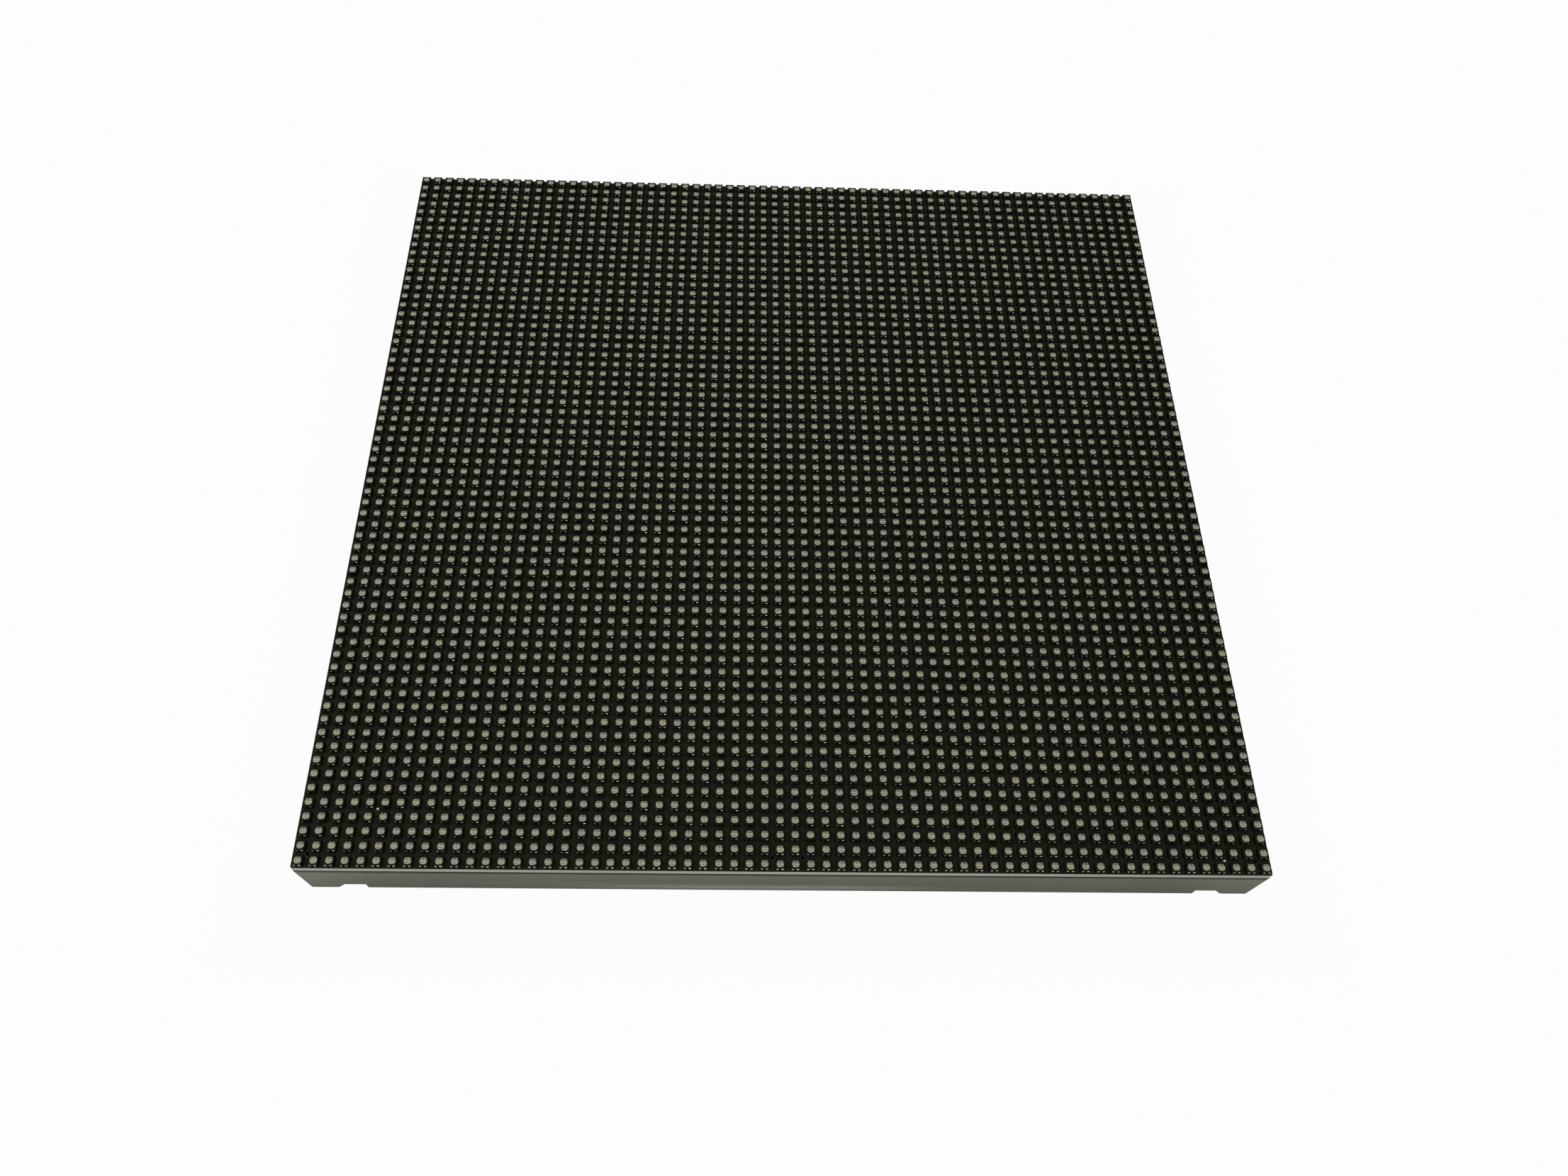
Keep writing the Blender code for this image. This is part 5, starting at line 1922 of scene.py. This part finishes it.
@dataclass
class SilkOutlines:
    """The white printed outlines round the larger components."""

    line: float = 0.15 * MM
    height: float = 0.015 * MM
    sink: float = 0.005 * MM
    margin: float = 0.5 * MM
    wider: tuple[tuple[str, float], ...] = (
        ("led_driver", 0.0),
        ("row_driver", 0.0),
        ("bus_buffer", 0.0),
        ("capacitor", 0.7 * MM),
        ("data_in", 1.6 * MM),
        ("data_out", 1.6 * MM),
        ("power", 0.0),
    )

    def ring(self, name: str, half_x: float, half_y: float) -> Piece:
        """A rectangle of thin line, printed under the board.

        Args:
            name: the piece's name.
            half_x: half its size along X.
            half_y: half its size along Y.

        Returns:
            The outline.
        """
        piece = block(name, (-half_x, -half_y, -self.height), (half_x, half_y, self.sink))
        inner_x, inner_y = half_x - self.line, half_y - self.line
        cut(piece, block("inside", (-inner_x, -inner_y, -MM), (inner_x, inner_y, MM)))
        return piece

    def build(self, back: float) -> None:
        """Prints the outlines on the board's back.

        Args:
            back: the height of the board's back.
        """
        rings = []
        for prefix, extra in self.wider:
            names = nodes_like(prefix)
            low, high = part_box(names[0])
            half = (high - low) / 2
            ring = self.ring(prefix, half.x + (self.margin + extra), half.y + self.margin)
            rings.append(copies(ring, f"{prefix}_outlines", over(names, back)))
        settle(joined("printed_outlines", rings), SILK_WHITE)


@dataclass
class PhotoCamera:
    """The camera as the photograph was taken, for a frame of 2212 by 1659 pixels."""

    place: tuple[float, float, float] = (-12.736 * MM, -182.627 * MM, 261.585 * MM)
    heading: float = 3.7167
    tilt: float = 58.3696
    roll: float = 4.041
    lens: float = 30.3543
    shift: Place = (0.00792, -0.0034)

    def build(self) -> None:
        """Makes the camera and gives it to the scene."""
        heading, tilt, roll = (math.radians(angle) for angle in (self.heading, self.tilt, self.roll))
        flat = math.cos(tilt)
        ahead = Vector((math.sin(heading) * flat, math.cos(heading) * flat, -math.sin(tilt)))
        level = Vector((math.cos(heading), -math.sin(heading), 0.0))
        right = level * math.cos(roll) + level.cross(ahead) * math.sin(roll)
        turn = Matrix((right, right.cross(ahead), -ahead)).transposed().to_4x4()
        deselect_all()
        bpy.ops.object.camera_add(location=self.place)
        camera = bpy.context.active_object
        camera.name = "photo_camera"
        camera.matrix_world = Matrix.Translation(self.place) @ turn
        camera.data.sensor_fit = "HORIZONTAL"
        camera.data.sensor_width = 36.0
        camera.data.lens = self.lens
        camera.data.shift_x, camera.data.shift_y = self.shift
        camera.data.clip_start = 0.01
        camera.data.clip_end = 50.0
        bpy.context.scene.camera = camera


@dataclass(frozen=True)
class Lamp:
    """A soft square lamp aimed at the panel."""

    name: str
    place: tuple[float, float, float]
    side: float
    power: float

    def build(self) -> None:
        """Hangs the lamp."""
        deselect_all()
        bpy.ops.object.light_add(type="AREA", location=self.place)
        lamp = bpy.context.active_object
        lamp.name = self.name
        lamp.data.shape = "SQUARE"
        lamp.data.size = self.side
        lamp.data.energy = self.power
        lamp.visible_camera = False
        lamp.rotation_euler = (-Vector(self.place)).to_track_quat("-Z", "Y").to_euler()


@dataclass
class Studio:
    """A white floor, an even pale surround, three lamps above and one for the rear."""

    floor_side: float = 12.0
    floor_grey: Colour = (0.50, 0.50, 0.50)
    shadow: float = 0.014
    shadow_reach: tuple[float, float] = (0.120, 0.097)
    ambient: float = 0.50
    ambient_tint: Colour = (1.0, 0.995, 0.95)
    white: Colour = (0.991, 0.974, 0.982)
    lamps: tuple[Lamp, ...] = (
        Lamp("key_lamp", (-0.1, -1.15, 0.62), 0.7, 6.7),
        Lamp("fill_lamp", (-0.8, 0.3, 0.9), 0.9, 1.3),
        Lamp("side_lamp", (-0.5, 0.25, 0.45), 0.4, 1.45),
        Lamp("rear_lamp", (0.0, 0.0, -0.4), 0.15, 1.7),
    )

    def floor(self) -> None:
        """The floor, white to the camera with the panel's faint shadow, and open from below."""
        deselect_all()
        bpy.ops.mesh.primitive_plane_add(size=self.floor_side, location=(0.0, 0.0, -0.0001))
        floor = named("studio_floor")
        floor.visible_shadow = False
        graph = ShaderGraph("studio_floor")
        constants = {"Base Color": self.floor_grey, "Roughness": 0.9, "Specular IOR Level": 0.0}
        for name, value in constants.items():
            graph.feed(graph.shader.inputs[name], value)
        glow = graph.node("ShaderNodeEmission", inputs={"Color": self.white, "Strength": 1.0})
        clear = graph.node("ShaderNodeBsdfTransparent")
        x, y, _ = graph.axes(graph.node("ShaderNodeTexCoord").outputs["Object"])
        near = x.size().most(y.size()).rise(*self.shadow_reach) * self.shadow
        seen = Value(graph, graph.node("ShaderNodeLightPath").outputs["Is Camera Ray"])
        inputs = {0: seen * (1.0 - near), 1: graph.shader.outputs[0], 2: glow.outputs[0]}
        above = graph.node("ShaderNodeMixShader", inputs=inputs)
        below = graph.node("ShaderNodeNewGeometry").outputs["Backfacing"]
        inputs = {0: below, 1: above.outputs[0], 2: clear.outputs[0]}
        whole = graph.node("ShaderNodeMixShader", inputs=inputs)
        graph.feed(graph.tree.nodes["Material Output"].inputs["Surface"], whole.outputs[0])
        floor.data.materials.append(graph.material)

    def world(self) -> None:
        """The surround: an even pale light, white to the camera."""
        world = bpy.data.worlds.new("studio")
        world.use_nodes = True
        tree = world.node_tree
        tree.nodes.clear()
        path, mix, output = (
            tree.nodes.new(f"ShaderNode{kind}") for kind in ("LightPath", "MixShader", "OutputWorld")
        )
        tree.links.new(path.outputs["Is Camera Ray"], mix.inputs[0])
        lights = ((self.ambient_tint, self.ambient), (self.white, 1.0))
        for slot, (colour, strength) in enumerate(lights, 1):
            light = tree.nodes.new("ShaderNodeBackground")
            light.inputs["Color"].default_value = (*colour, 1.0)
            light.inputs["Strength"].default_value = strength
            tree.links.new(light.outputs[0], mix.inputs[slot])
        tree.links.new(mix.outputs[0], output.inputs["Surface"])
        bpy.context.scene.world = world

    def build(self) -> None:
        """Sets the floor, the surround and the lamps."""
        self.floor()
        self.world()
        for lamp in self.lamps:
            lamp.build()


def main() -> None:
    """Builds every piece, the studio and the camera, and notes the sizes."""
    logging.basicConfig(level=logging.INFO, format="%(name)s %(message)s")
    bpy.context.scene.view_settings.view_transform = "Standard"
    PhotoCamera().build()
    Studio().build()
    back, front = CircuitBoard().build()
    RearFrame().build()
    Fasteners().build()
    row_drivers = LeadedChips("row_driver", length=9.9 * MM, width=3.9 * MM, leads=16, reach=1.05 * MM)
    bus_buffers = LeadedChips("bus_buffer", length=12.8 * MM, width=7.5 * MM, leads=20, reach=1.4 * MM)
    chips = (LedDrivers(), row_drivers, bus_buffers)
    for part in (DataHeaders(), PowerHeader(), *chips, CanCapacitors(), SmallParts(), SilkOutlines()):
        part.build(back)
    LedField().build(front, CAD_BOUNDS[1].z)
    deselect_all()


if __name__ == "__main__":
    main()
